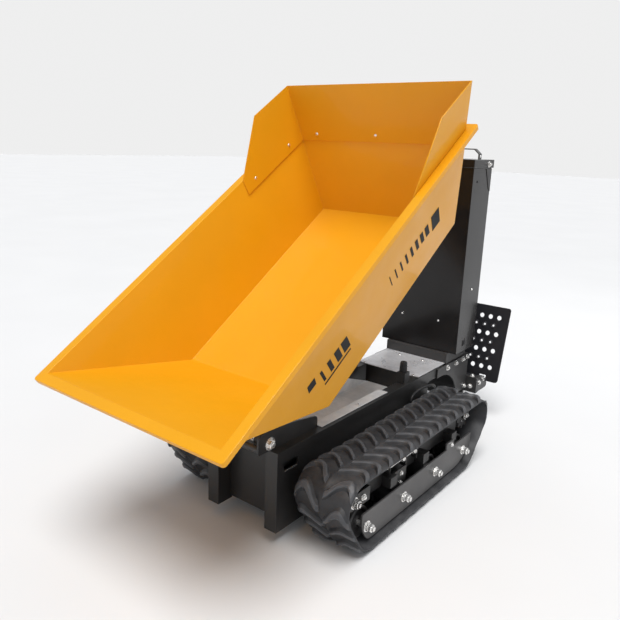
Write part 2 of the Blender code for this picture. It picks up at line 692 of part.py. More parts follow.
def tower():
    h, y0, y1, z0, z1 = TOWER_HALF, TOWER_Y0, TOWER_Y1, TOWER_Z0, TOWER_Z1
    t = 0.0025
    add("tower_base", box(-HALF_W, HALF_W, y0 - 0.012, y1, CH_TOP - 0.0017, z0 - GAP),
        (BLACK, 0.4, 0.0))
    plan = [(-h, y0), (h, y0), (h, y1), (h - 0.020, y1), (h - 0.020, y1 - t), (h - t, y1 - t),
            (h - t, y0 + t), (-h + t, y0 + t), (-h + t, y1 - t), (-h + 0.020, y1 - t),
            (-h + 0.020, y1), (-h, y1)]
    add("tower_shell", prism("Z", z0, z1, plan), (BLACK, 0.22, 0.0))
    cap = add("tower_cap", box(-h - 0.003, h + 0.003, y0 - 0.006, y1 + 0.012, z1 + GAP, 1.0670),
              (BLACK, 0.3, 0.0))
    cut(cap, box(-h, h, y0 - 0.003, y1 + 0.009, z1 - 0.01, 1.0640))
    w, rise = 0.004, 0.038
    strap = [(-0.168, 1.0673), (-0.168, 1.0873), (-0.148, 1.067 + rise), (0.148, 1.067 + rise),
             (0.168, 1.0873), (0.168, 1.0673), (0.168 - w, 1.0673), (0.168 - w, 1.0860),
             (0.1465, 1.067 + rise - w), (-0.1465, 1.067 + rise - w), (-0.168 + w, 1.0860),
             (-0.168 + w, 1.0673)]
    add("grab_handle", prism("Y", 1.050, 1.074, strap), (BLACK, 0.35, 0.0))
    panel = add("tower_rear_panel", box(-0.160, 0.160, y1 + GAP, y1 + 0.0028, 0.336, 1.030),
                (BLACK, 0.35, 0.0))
    for i in range(5):
        cut(panel, prism("Y", y1 - 0.01, y1 + 0.02,
                         rect(-0.060, 0.060, 0.420 + 0.022 * i, 0.428 + 0.022 * i)))
    unit = add("hydraulic_unit", box(-0.110, 0.110, 1.035, 1.160, z0, 0.500),
               (GRAPHITE, 0.5, 0.0))
    join(unit, cylinder("Z", 0.052, 0.495, 0.690, 0.0, 1.098, 20))


CONSOLE_FACE = ((1.200, 0.990), (1.288, 0.922))


def console_point(along, out):
    """A point on the console's sloping face: along it from the top, and out of it."""
    (ya, za), (yb, zb) = CONSOLE_FACE
    length = math.hypot(yb - ya, zb - za)
    dy, dz = (yb - ya) / length, (zb - za) / length
    return ya + dy * along * length - dz * out, za + dz * along * length + dy * out


def lever(name, x, along, length, look):
    """Straight lever with a ball knob, hinged in a slot of the console."""
    y, z = console_point(along, -0.012)
    (ya, za), (yb, zb) = CONSOLE_FACE
    lean = math.atan2(zb - za, yb - ya)
    axis = empty(f"{name}_axis", (x, y, z), ROOT, lean)
    ob = add(name, cylinder("Z", 0.0045, -0.004, length, seg=12), look, axis)
    knob = bmesh.new()
    bmesh.ops.create_uvsphere(knob, u_segments=14, v_segments=9, radius=0.0135)
    bmesh.ops.translate(knob, vec=(0, 0, length + 0.006), verts=knob.verts)
    mesh = finish(knob, "knob")
    round_off(mesh)
    join(ob, mesh)
    return ob


def controls():
    (ya, za), (yb, zb) = CONSOLE_FACE
    back = TOWER_Y1 + 0.0031
    side = [(back, 0.800), (back, za - 0.004), (ya, za), (yb, zb), (yb, 0.868)]
    console = add("control_console", prism("X", -0.105, 0.105, side), (GRAPHITE, 0.5, 0.0))
    slots = ((0.070, 0.50), (-0.070, 0.50), (0.024, 0.50))
    for x, along in slots:
        y, z = console_point(along, 0.0)
        slot = box(x - 0.0065, x + 0.0065, -0.030, 0.030, -0.0300, 0.020)
        slot.transform(Matrix.Translation((0, y, z))
                       @ Matrix.Rotation(math.atan2(zb - za, yb - ya), 4, "X"))
        cut(console, slot)
    lever("drive_lever_l", 0.070, 0.50, 0.085, (BLACK, 0.35, 0.0))
    lever("drive_lever_r", -0.070, 0.50, 0.085, (BLACK, 0.35, 0.0))
    lever("tip_lever", 0.024, 0.50, 0.070, ((0.55, 0.03, 0.02), 0.35, 0.0))
    y, z = console_point(0.50, 0.0003)
    lean = math.atan2(zb - za, yb - ya)
    axis = empty("stop_button_axis", (-0.024, y, z), ROOT, lean)
    hole = cylinder("Z", 0.0090, -0.020, 0.010, seg=16)
    hole.transform(Matrix.Translation((-0.024, y, z)) @ Matrix.Rotation(lean, 4, "X"))
    cut(console, hole)
    button = add("stop_button", cylinder("Z", 0.0180, 0.0080, 0.0200, seg=20),
                 ((0.65, 0.02, 0.02), 0.35, 0.0), axis)
    join(button, cylinder("Z", 0.0080, -0.0100, 0.0100, seg=16))
    y = TOWER_Y1 + 0.0031
    bar = filleted([(-0.095, y, 0.755), (-0.095, 1.250, 0.755), (-0.095, 1.340, 0.800),
                    (0.095, 1.340, 0.800), (0.095, 1.250, 0.755), (0.095, y, 0.755)], 0.035)
    add("handlebar", tube(bar, 0.012), (BLACK, 0.4, 0.0))


def footplate():
    """Perforated ride-on plate, folded up, and the bracket that carries its hinge."""
    arm = rounded([(1.210, 0.120), (1.320, 0.120), (1.320, 0.160), (1.290, 0.160),
                   (1.286, 0.178), (1.264, 0.178), (1.258, 0.186), (1.210, 0.186)],
                  [0, 0.012, 0.008, 0.004, 0.008, 0.006, 0.004, 0])
    bracket = add("footplate_bracket", box(-0.188, 0.188, 1.2055, 1.2280, 0.120, 0.186),
                  (BLACK, 0.45, 0.0))
    join(bracket, box(-0.1350, 0.1350, 1.150, 1.210, 0.150, 0.286),
         box(-0.1350, 0.1350, 1.198, 1.208, 0.078, 0.155),
         prism("X", 0.174, 0.186, arm), prism("X", -0.174, -0.186, arm),
         box(-0.176, 0.176, 1.298, 1.316, 0.128, 0.1638),
         cylinder("X", 0.0055, -0.192, 0.192, FOOT_Y, FOOT_Z, 12))

    hinge = empty("footplate_hinge", (0.0, FOOT_Y, FOOT_Z), ROOT, -FOOT_LEAN)
    h = FOOT_HALF
    outline = rounded([(-h, -0.006), (-0.197, -0.006), (-0.197, 0.018), (-0.168, 0.018),
                       (-0.168, -0.002), (0.168, -0.002), (0.168, 0.018), (0.197, 0.018),
                       (0.197, -0.006), (h, -0.006), (h, FOOT_TOP), (-h, FOOT_TOP)],
                      [0.016, 0, 0, 0, 0, 0, 0, 0, 0, 0.016, 0.012, 0.012], 2)
    plate = add("footplate", prism("Y", -0.0016, 0.0016, outline), (GRAPHITE, 0.5, 0.0), hinge)
    join(plate, cylinder("X", 0.0095, -0.1700, 0.1700, seg=16))
    punch = bmesh.new()
    for row in range(7):
        count = 11 if row % 2 else 12
        for i in range(count):
            place = Matrix.Translation(((i - (count - 1) / 2) * HOLE_PITCH, 0.0,
                                        0.0525 + HOLE_ROWS * row)) @ AXES["Y"]
            bmesh.ops.create_cone(punch, cap_ends=True, segments=6, radius1=HOLE_R,
                                  radius2=HOLE_R, depth=0.02, matrix=place)
    cut(plate, cylinder("X", 0.0060, -0.2, 0.2, seg=14), finish(punch, "punch"))


def build():
    for side, s in (("l", 1), ("r", -1)):
        side_rail(f"side_rail_{side}", s)
        buffer(f"rest_buffer_{side}", s)
        drive_bracket(f"drive_bracket_{side}", s)
        track(side, s)
    chassis_plates()
    tray()
    pivot()
    skip_tub()
    spill_guard()
    skip_frame()
    ram()
    tower()
    controls()
    footplate()


build()
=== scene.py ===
"""Looks of a tracked power wheelbarrow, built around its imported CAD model.

Metres, +Z up.  The machine drives towards -Y and its left side is +X.  Chassis pieces are drawn
with y counted back from the chassis' front face, skip pieces from the skip's pivot as if lowered.
"""
import json
import math

import bmesh
import bpy
from mathutils import Matrix, Vector


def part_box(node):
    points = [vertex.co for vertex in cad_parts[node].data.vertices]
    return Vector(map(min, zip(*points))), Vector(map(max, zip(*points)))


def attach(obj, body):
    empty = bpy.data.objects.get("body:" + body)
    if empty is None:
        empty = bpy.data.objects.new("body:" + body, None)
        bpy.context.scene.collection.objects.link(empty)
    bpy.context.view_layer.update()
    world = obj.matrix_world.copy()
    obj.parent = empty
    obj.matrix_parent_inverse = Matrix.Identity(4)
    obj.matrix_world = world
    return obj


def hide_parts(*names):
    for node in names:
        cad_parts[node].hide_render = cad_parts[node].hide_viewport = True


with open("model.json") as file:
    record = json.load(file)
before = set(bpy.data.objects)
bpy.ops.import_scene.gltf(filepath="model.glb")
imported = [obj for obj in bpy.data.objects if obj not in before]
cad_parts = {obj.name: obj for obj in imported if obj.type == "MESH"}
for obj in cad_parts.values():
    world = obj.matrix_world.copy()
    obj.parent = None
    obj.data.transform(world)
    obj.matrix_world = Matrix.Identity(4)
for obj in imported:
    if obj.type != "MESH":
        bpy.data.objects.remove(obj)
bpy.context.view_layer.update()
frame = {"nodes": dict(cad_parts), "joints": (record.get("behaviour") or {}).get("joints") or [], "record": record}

JOINTS = {j["name"]: j for j in frame["joints"]}
BODY_OF = {n: b for b, nodes in frame["record"]["behaviour"]["bodies"].items() for n in nodes}
PIVOT = Vector(JOINTS["skip_tip"]["pos_m"])
TILT = math.radians(33.2)
CHASSIS = Matrix.Translation((0.0, PIVOT.y, 0.0))
SKIP = Matrix.Translation(PIVOT) @ Matrix.Rotation(TILT, 4, "X")
RIGHT_WAY = Matrix.Identity(4)
SIDES = (("l", 1), ("r", -1))

# Skip, as in the CAD model
LIP_Y, RIM_Z, RIM_LEN, RIM_HALF = -0.244, 0.3812, 1.243, 0.3405
FLANGE, FLANGE_DROP, SKIP_DEPTH, SHEET = 0.027, 0.014, 0.292, 0.003
FLOOR_HALF, FLOOR_Y0, FLOOR_Y1 = 0.2586, 0.119, 0.8905
WALL_FLARE = (RIM_HALF - FLANGE - FLOOR_HALF) / SKIP_DEPTH
REAR_RAKE = (RIM_LEN + LIP_Y - FLANGE - FLOOR_Y1) / SKIP_DEPTH
INNER_HALF = RIM_HALF - FLANGE         # inside of the side wall and of the rear wall, at the rim
REAR_Y = LIP_Y + RIM_LEN - FLANGE
GUARD_BOTTOM, GUARD_TOP, GUARD_CLEAR = -0.048, 0.130, 0.0006
GUARD_FRONT = {GUARD_BOTTOM: 0.629, 0.0: 0.636, GUARD_TOP: 0.812}   # front edge, by height

# Chassis, tower and footplate, within half a millimetre of the CAD model
SHAFT_R, EAR_X, WASHER = 0.0098, 0.1063, 0.0028
BLOCK_X, BLOCK_Y, BLOCK_Z0, BLOCK_Z1 = 0.109, 0.7145, 0.3283, 0.3656
BRACKET_X = 0.1413                     # outer face of a drive bracket
TOWER_X = 0.1671                       # outer face of the tower's side
FOOT_LEAN, FOOT_HALF, FOOT_TOP = math.radians(12.6), 0.250, 0.3105
HOLE_PITCH, HOLE_ROW0, HOLE_ROWS = 0.0375, 0.0525, 0.0353

# Tracks, as in the CAD model
TRACK_X, BELT_HALF = 0.265, 0.090
END_R, ROLL_R, LUGS = 0.053, 0.050, 32
IDLER, SPROCKET = (0.097, 0.172), (0.852, 0.174)
ROLLER_Y0, ROLLER_PITCH, ROLLER_Z = 0.152, 0.2053, 0.080
OUTER_X, PLATE = 0.331, 0.006
HOSE_ROUTE = [(0.110, 0.905, 0.222), (0.148, 0.893, 0.230), (0.157, 0.862, 0.248),
              (0.157, 0.810, 0.258), (0.157, 0.757, 0.260), (0.156, 0.716, 0.251),
              (0.155, 0.702, 0.231), (0.155, 0.722, 0.212), (0.156, 0.765, 0.198),
              (0.160, 0.8085, 0.180)]

# Only here: the top run's sag, slighter than the CAD model's, and the tensioner screw
SAG, SAG_Y, SAG_LEN = 0.003, 0.12, 0.35
SCREW_X, SCREW_Z = 0.3075, 0.187


# ---------------------------------------------------------------- materials

class Look:
    """A Principled material, and short ways to add the nodes that drive it."""

    def __init__(self, name, colour, rough, metal=0.0, coat=0.0, coat_rough=0.05, spec=0.5):
        self.mat = bpy.data.materials.new(name)
        self.mat.use_nodes = True
        self.tree = self.mat.node_tree
        self.bsdf = self.tree.nodes["Principled BSDF"]
        put = self.bsdf.inputs
        put["Base Color"].default_value = (*colour, 1.0)
        put["Roughness"].default_value = rough
        put["Metallic"].default_value = metal
        put["Coat Weight"].default_value = coat
        put["Coat Roughness"].default_value = coat_rough
        put["Specular IOR Level"].default_value = spec
        self.mat.diffuse_color = (*colour, 1.0)
        self.colour, self.rough = colour, rough
        self.where = self.new("ShaderNodeTexCoord").outputs["Object"]
        self.normal = None

    def new(self, kind, **values):
        node = self.tree.nodes.new(kind)
        for key, value in values.items():
            setattr(node, key, value)
        return node

    def link(self, a, b):
        self.tree.links.new(a, b)

    def noise(self, scale, detail=3.0, rough=0.55, stretch=None):
        tex = self.new("ShaderNodeTexNoise")
        tex.inputs["Scale"].default_value = scale
        tex.inputs["Detail"].default_value = detail
        tex.inputs["Roughness"].default_value = rough
        source = self.where
        if stretch:
            mapping = self.new("ShaderNodeMapping")
            mapping.inputs["Scale"].default_value = stretch
            self.link(source, mapping.inputs["Vector"])
            source = mapping.outputs["Vector"]
        self.link(source, tex.inputs["Vector"])
        return tex.outputs["Fac"]

    def ramp(self, value, low, high, a=0.0, b=1.0):
        node = self.new("ShaderNodeMapRange")
        node.inputs["From Min"].default_value = low
        node.inputs["From Max"].default_value = high
        node.inputs["To Min"].default_value = a
        node.inputs["To Max"].default_value = b
        self.link(value, node.inputs["Value"])
        return node.outputs["Result"]

    def mix(self, factor, a, b):
        """Colour b over a; either may be a colour or a socket."""
        node = self.new("ShaderNodeMix", data_type="RGBA")
        self.link(factor, node.inputs["Factor"])
        for socket, value in ((node.inputs[6], a), (node.inputs[7], b)):
            if isinstance(value, tuple):
                socket.default_value = (*value, 1.0)
            else:
                self.link(value, socket)
        return node.outputs[2]

    def times(self, a, b):
        node = self.new("ShaderNodeMath", operation="MULTIPLY", use_clamp=True)
        self.link(a, node.inputs[0])
        if isinstance(b, float):
            node.inputs[1].default_value = b
        else:
            self.link(b, node.inputs[1])
        return node.outputs[0]

    def bump(self, height, strength, distance):
        node = self.new("ShaderNodeBump")
        node.inputs["Strength"].default_value = strength
        node.inputs["Distance"].default_value = distance
        self.link(height, node.inputs["Height"])
        if self.normal:
            self.link(self.normal, node.inputs["Normal"])
        self.normal = node.outputs["Normal"]
        self.link(self.normal, self.bsdf.inputs["Normal"])

    def facing_up(self, low=0.2, high=0.9):
        split = self.new("ShaderNodeSeparateXYZ")
        self.link(self.new("ShaderNodeNewGeometry").outputs["Normal"], split.inputs[0])
        return self.ramp(split.outputs["Z"], low, high)

    def edges(self, radius, sharp=0.18):
        """How far the surface turns within a radius: one along sharp edges."""
        bevel = self.new("ShaderNodeBevel", samples=4)
        bevel.inputs["Radius"].default_value = radius
        dot = self.new("ShaderNodeVectorMath", operation="DOT_PRODUCT")
        self.link(bevel.outputs["Normal"], dot.inputs[0])
        self.link(self.new("ShaderNodeNewGeometry").outputs["Normal"], dot.inputs[1])
        return self.ramp(dot.outputs["Value"], 0.995, 1.0 - sharp)

    def base(self, colour):
        self.link(colour, self.bsdf.inputs["Base Color"])

    def roughness(self, value, spread):
        low, high = self.rough - spread, self.rough + spread
        self.link(self.ramp(value, 0.3, 0.7, max(low, 0.03), high), self.bsdf.inputs["Roughness"])


def shade(colour, k):
    return tuple(min(1.0, c * k) for c in colour)


def painted(name, colour, rough, coat=0.0, vary=0.10, peel=0.12, edge_wear_and_highlight=None, dust=None, spec=0.5):
    """Sprayed paint: cloudy colour, orange peel, uneven gloss, dust on top, and a colour on broken-up edges:
    chipped steel on the black and grey paints, a painted highlight on the yellow.
    """
    look = Look(name, colour, rough, coat=coat, coat_rough=0.08, spec=spec)
    cloud = look.ramp(look.noise(3.1, 4.0), 0.3, 0.7)
    out = look.mix(cloud, shade(colour, 1.0 - vary), shade(colour, 1.0 + vary))
    fine = look.ramp(look.noise(70.0, 5.0, 0.7), 0.56, 0.80, 0.0, 0.35)
    out = look.mix(fine, out, shade(colour, 1.0 - 2.2 * vary))
    if dust:
        layer = look.times(look.facing_up(), look.ramp(look.noise(11.0, 6.0, 0.7), 0.38, 0.75))
        out = look.mix(look.times(layer, dust[1]), out, dust[0])
    # colour on broken-up edges: steel where the paint is chipped, except on the yellow, where it is a painted
    # highlight
    if edge_wear_and_highlight:
        chipped_and_lit_edge = look.times(look.edges(0.0016), look.ramp(look.noise(38.0, 6.0, 0.75), 0.5, 0.66))
        out = look.mix(look.times(chipped_and_lit_edge, edge_wear_and_highlight[1]), out, edge_wear_and_highlight[0])
    look.base(out)
    look.roughness(look.noise(9.0, 4.0), 0.07)
    look.bump(look.noise(420.0, 2.0), peel, 0.0004)
    return look.mat


def plated(name, colour, rough, spangle=0.0, metal=0.92):
    """Zinc-plated or galvanised steel: grain, faint crystals and dull patches."""
    look = Look(name, colour, rough, metal=metal)
    cloud = look.ramp(look.noise(16.0, 5.0, 0.65), 0.3, 0.72)
    out = look.mix(cloud, shade(colour, 0.80), shade(colour, 1.08))
    if spangle:
        cells = look.new("ShaderNodeTexVoronoi")
        cells.inputs["Scale"].default_value = 75.0
        look.link(look.where, cells.inputs["Vector"])
        split = look.new("ShaderNodeSeparateColor")
        look.link(cells.outputs["Color"], split.inputs[0])
        out = look.mix(look.times(split.outputs[0], spangle), out, shade(colour, 0.55))
    look.base(out)
    look.roughness(look.noise(26.0, 5.0), 0.10)
    look.bump(look.noise(310.0, 3.0, stretch=(1.0, 0.15, 1.0)), 0.10, 0.0003)
    return look.mat


def rubbery(name, colour, rough, grain=300.0, dust=0.35, depth=0.0006):
    """Moulded rubber: pitted, with a painted highlight along its edges, and dusty on top."""
    look = Look(name, colour, rough, spec=0.35)
    cloud = look.ramp(look.noise(7.0, 5.0, 0.65), 0.3, 0.72)
    out = look.mix(cloud, shade(colour, 0.78), shade(colour, 1.25))
    # paler along the edges: a painted highlight
    out = look.mix(look.times(look.edges(0.003, 0.30), 0.55), out, shade(colour, 3.2))
    pale = look.times(look.facing_up(0.0, 1.0), look.ramp(look.noise(23.0, 6.0, 0.7), 0.35, 0.7))
    out = look.mix(look.times(pale, dust), out, (0.125, 0.122, 0.122))
    look.base(out)
    look.roughness(look.noise(19.0, 4.0), 0.10)
    look.bump(look.noise(grain, 4.0, 0.7), 0.25, depth)
    return look.mat


def moulded(name, colour, rough, grain=900.0, strength=0.35, coat=0.0):
    """Moulded plastic with a fine spark-eroded texture."""
    look = Look(name, colour, rough, coat=coat)
    cloud = look.ramp(look.noise(8.0, 4.0), 0.3, 0.7)
    look.base(look.mix(cloud, shade(colour, 0.88), shade(colour, 1.15)))
    look.roughness(look.noise(40.0, 4.0), 0.06)
    look.bump(look.noise(grain, 2.0), strength, 0.0002)
    return look.mat


STEEL_CHIP = (0.20, 0.19, 0.18)
GREY_DUST = (0.17, 0.16, 0.15)
# the pale edge colour of the yellow is a painted highlight along rims and folds, broken up like wear
YELLOW = painted("yellow_paint", (0.75, 0.335, 0.0045), 0.46, coat=0.16, vary=0.035, peel=0.09,
                 edge_wear_and_highlight=((0.90, 0.55, 0.18), 0.30), spec=0.28)
# black film: the side stripes, and also painted shade for the tower's notch and hole
FILM_AND_PAINTED_SHADE = painted("black_film_and_painted_shade", (0.008, 0.008, 0.009), 0.50, vary=0.15, peel=0.05, spec=0.12)
BLACK = painted("black_paint", (0.017, 0.0165, 0.0165), 0.40, vary=0.16, peel=0.22,
                edge_wear_and_highlight=(STEEL_CHIP, 0.5), dust=(GREY_DUST, 0.16))
GLOSS = painted("gloss_black_paint", (0.011, 0.010, 0.010), 0.20, coat=0.12, vary=0.12, peel=0.10,
                edge_wear_and_highlight=(STEEL_CHIP, 0.3), spec=0.26)
SATIN = painted("satin_black_paint", (0.034, 0.033, 0.033), 0.44, vary=0.14, peel=0.25,
                edge_wear_and_highlight=(STEEL_CHIP, 0.4), dust=(GREY_DUST, 0.2))
GREY = painted("grey_paint", (0.056, 0.054, 0.054), 0.42, vary=0.14, peel=0.22,
               edge_wear_and_highlight=(STEEL_CHIP, 0.5), dust=(GREY_DUST, 0.25))
TRACK_BLACK = painted("track_frame_paint", (0.013, 0.0125, 0.0125), 0.5, vary=0.2, peel=0.25,
                      edge_wear_and_highlight=(STEEL_CHIP, 0.4), dust=(GREY_DUST, 0.15))
TREAD_PLATE = painted("footplate_paint", (0.018, 0.018, 0.021), 0.40, vary=0.12, peel=0.25,
                      edge_wear_and_highlight=(STEEL_CHIP, 0.5))
# near-white, faintly blue and almost without metal: the zinc's reflection of a bright sky painted into its colour
TRAY_ZINC_PAINTED_REFLECTION = plated("pale_zinc_painted_reflection", (0.93, 0.96, 0.98), 0.42, spangle=0.10, metal=0.05)
ZINC = plated("zinc_sheet", (0.84, 0.84, 0.86), 0.34, spangle=0.22, metal=0.35)
BOLT = plated("zinc_bolt", (0.90, 0.89, 0.87), 0.25, metal=0.82)
CHROME = plated("ground_chrome", (0.80, 0.81, 0.83), 0.10, metal=1.0)
RUBBER = rubbery("track_rubber", (0.024, 0.0245, 0.027), 0.50)
# paler copy of the track rubber for the lug tops: painted light on the tops, which leaves the darker belt between
# them as painted shade in the grooves
TREAD_PAINTED_LIGHT = rubbery("tread_top_painted_light", (0.064, 0.066, 0.072), 0.44)
SOFT_RUBBER = rubbery("moulded_rubber", (0.020, 0.020, 0.021), 0.58, grain=600.0, dust=0.12)
HOSE = rubbery("hose_rubber", (0.018, 0.018, 0.019), 0.42, grain=900.0, dust=0.08, depth=0.0002)
PLASTIC = moulded("grey_plastic", (0.040, 0.041, 0.044), 0.48)
KNOB = moulded("black_knob", (0.014, 0.014, 0.015), 0.28, grain=1500.0, strength=0.1, coat=0.3)
RED = moulded("red_plastic", (0.52, 0.018, 0.012), 0.30, grain=1500.0, strength=0.1, coat=0.4)


# ---------------------------------------------------------------- shapes

def piece(name, bm, mat, body, stands_for=(), place=CHASSIS, bevel=0.0, segs=2,
          sharp=32.0):
    """A finished object that rides on a body, standing for CAD nodes if any are named."""
    mesh = bpy.data.meshes.new(name)
    bm.to_mesh(mesh)
    bm.free()
    mesh.transform(place)
    mesh.shade_smooth()
    mesh.set_sharp_from_angle(angle=math.radians(sharp))
    mesh.materials.append(mat)
    obj = bpy.data.objects.new(name, mesh)
    bpy.context.scene.collection.objects.link(obj)
    if bevel:
        mod = obj.modifiers.new("edges", "BEVEL")
        mod.width = bevel
        mod.segments = segs
        mod.limit_method = "ANGLE"
        mod.angle_limit = math.radians(sharp)
        mod.harden_normals = True
    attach(obj, body)
    if stands_for:
        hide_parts(*stands_for)
    return obj


def dress(node, mat, bevel=0.001, segs=2, sharp=32.0):
    """The CAD node's own shape with its facets merged and its edges rounded."""
    bm = bmesh.new()
    bm.from_mesh(frame["nodes"][node].data)
    bmesh.ops.remove_doubles(bm, verts=bm.verts, dist=2e-5)
    bmesh.ops.dissolve_limit(bm, angle_limit=math.radians(1.0), verts=bm.verts, edges=bm.edges)
    return piece(f"{node}_skin", bm, mat, BODY_OF[node], [node], place=RIGHT_WAY, bevel=bevel,
                 segs=segs, sharp=sharp)


AXES = {
    "X": Matrix(((0, 0, 1), (1, 0, 0), (0, 1, 0))).to_4x4(),   # drawn in Y and Z
    "Y": Matrix(((1, 0, 0), (0, 0, -1), (0, 1, 0))).to_4x4(),  # drawn in X and Z
    "Z": Matrix.Identity(4),
}


def box(bm, x0, x1, y0, y1, z0, z1, place=RIGHT_WAY):
    size = Matrix.Diagonal((abs(x1 - x0), abs(y1 - y0), abs(z1 - z0), 1.0))
    mid = Matrix.Translation(((x0 + x1) / 2, (y0 + y1) / 2, (z0 + z1) / 2))
    bmesh.ops.create_cube(bm, size=1.0, matrix=place @ mid @ size)


def at(axis, u, v, w, place=RIGHT_WAY):
    """Where something drawn along an axis goes: centre (u, v), starting w along the axis."""
    return place @ AXES[axis] @ Matrix.Translation((u, v, -w if axis == "Y" else w))


def facing(s):
    """Turns what is drawn outwards from the left side (1) to do so from the right (-1) too."""
    return Matrix.Rotation(0 if s > 0 else math.pi, 4, "X")


def disc(bm, radius, w0, w1, where=RIGHT_WAY, seg=32, top=None):
    """A cylinder or cone along local Z from w0 to w1."""
    bmesh.ops.create_cone(bm, cap_ends=True, segments=seg, radius1=radius,
                          radius2=radius if top is None else top, depth=w1 - w0,
                          matrix=where @ Matrix.Translation((0, 0, (w0 + w1) / 2)))


def lathe(bm, profile, where=RIGHT_WAY, seg=48):
    """A closed ring turned about local Z from (radius, height) points."""
    rings = []
    for i in range(seg):
        a = 2 * math.pi * i / seg
        rings.append([bm.verts.new(where @ Vector((r * math.cos(a), r * math.sin(a), h)))
                      for r, h in profile])
    count = len(profile)
    for i in range(seg):
        a, b = rings[i], rings[(i + 1) % seg]
        for k in range(count):
            bm.faces.new((a[k], a[(k + 1) % count], b[(k + 1) % count], b[k]))


def nut(bm, where, radius, height, washer=0.0, stud=0.0, spin=0.2):
    """Washer, chamfered hexagon nut and the end of its stud, up local Z."""
    base = 0.0
    if washer:
        disc(bm, washer, 0.0, 0.0016, where)
        base = 0.0016
    turn = where @ Matrix.Rotation(spin, 4, "Z")
    edge = height * 0.22
    disc(bm, radius * 0.90, base, base + edge * 0.6, turn, 6, radius)
    disc(bm, radius, base + edge * 0.6, base + height - edge, turn, 6)
    disc(bm, radius, base + height - edge, base + height, turn, 6, radius * 0.84)
    if stud:
        shaft = radius * 0.56
        disc(bm, shaft, base + height - 0.001, base + height + stud - 0.0008, where, 20)
        disc(bm, shaft, base + height + stud - 0.0008, base + height + stud, where, 20,
             shaft * 0.8)


def dome(bm, where, radius, height):
    """Button-head screw with a hexagon socket."""
    steps = 5
    for i in range(steps):
        a, b = i / steps, (i + 1) / steps
        ra, rb = (radius * math.sqrt(1 - (0.9 * t) ** 2) for t in (a, b))
        disc(bm, ra, height * a, height * b, where, 20, rb)


def fill(axis, a, b, outline, holes=(), place=RIGHT_WAY):
    """A flat outline with holes, given thickness, as a bmesh."""
    curve = bpy.data.curves.new("outline", "CURVE")
    curve.dimensions = "2D"
    curve.fill_mode = "BOTH"
    curve.extrude = abs(b - a) / 2
    for points in (outline, *holes):
        spline = curve.splines.new("POLY")
        spline.points.add(len(points) - 1)
        for point, (u, v) in zip(spline.points, points):
            point.co = (u, v, 0.0, 1.0)
        spline.use_cyclic_u = True
    obj = bpy.data.objects.new("outline", curve)
    bpy.context.scene.collection.objects.link(obj)
    bpy.context.view_layer.update()
    mesh = bpy.data.meshes.new_from_object(
        obj.evaluated_get(bpy.context.evaluated_depsgraph_get()))
    bpy.data.objects.remove(obj, do_unlink=True)
    bm = bmesh.new()
    bm.from_mesh(mesh)
    bmesh.ops.remove_doubles(bm, verts=bm.verts, dist=2e-5)
    bmesh.ops.dissolve_limit(bm, angle_limit=math.radians(0.5), verts=bm.verts, edges=bm.edges)
    bmesh.ops.transform(bm, matrix=at(axis, 0.0, 0.0, (a + b) / 2, place), verts=bm.verts)
    bmesh.ops.recalc_face_normals(bm, faces=bm.faces)
    return bm


def rounded(points, radii, steps=6):
    """A closed outline with its corners rounded."""
    out = []
    count = len(points)
    for i, (point, radius) in enumerate(zip(points, radii)):
        if radius == 0:
            out.append(point)
            continue
        b = Vector(point)
        a, c = Vector(points[i - 1]), Vector(points[(i + 1) % count])
        p, q = b + (a - b).normalized() * radius, b + (c - b).normalized() * radius
        out += [tuple((1 - t) ** 2 * p + 2 * t * (1 - t) * b + t * t * q)
                for t in (k / steps for k in range(steps + 1))]
    return out


def ring(radius, u, v, seg=24, phase=0.0):
    """A round outline about the point (u, v)."""
    return [(u + radius * math.cos(phase + 2 * math.pi * i / seg),
             v + radius * math.sin(phase + 2 * math.pi * i / seg)) for i in range(seg)]


def mirrored(profile):
    """A wheel's whole outline from its half above the middle plane."""
    return profile + [(r, -h) for r, h in reversed(profile)]


def smooth_path(points, steps=8):
    """Catmull-Rom points through the given ones."""
    pts = [Vector(p) for p in points]
    pts = [2 * pts[0] - pts[1]] + pts + [2 * pts[-1] - pts[-2]]
    out = []
    for a, b, c, d in zip(pts, pts[1:], pts[2:], pts[3:]):
        for i in range(steps):
            t = i / steps
            out.append(0.5 * (2 * b + (c - a) * t + (2 * a - 5 * b + 4 * c - d) * t * t
                              + (3 * b - a - 3 * c + d) * t ** 3))
    return out + [pts[-2]]


def tube(bm, path, radius, seg=16):
    """A round bar that follows a path, with flat ends."""
    path = [Vector(p) for p in path]
    up = (path[1] - path[0]).orthogonal().normalized()
    rings = []
    for i, p in enumerate(path):
        ahead = (path[min(i + 1, len(path) - 1)] - path[max(i - 1, 0)]).normalized()
        up = (up - ahead * up.dot(ahead)).normalized()
        side = ahead.cross(up)
        rings.append([bm.verts.new(p + radius * (math.cos(a) * up + math.sin(a) * side))
                      for a in (2 * math.pi * k / seg for k in range(seg))])
    for a, b in zip(rings, rings[1:]):
        for k in range(seg):
            bm.faces.new((a[k], a[(k + 1) % seg], b[(k + 1) % seg], b[k]))
    bm.faces.new(rings[0][::-1])
    bm.faces.new(rings[-1])


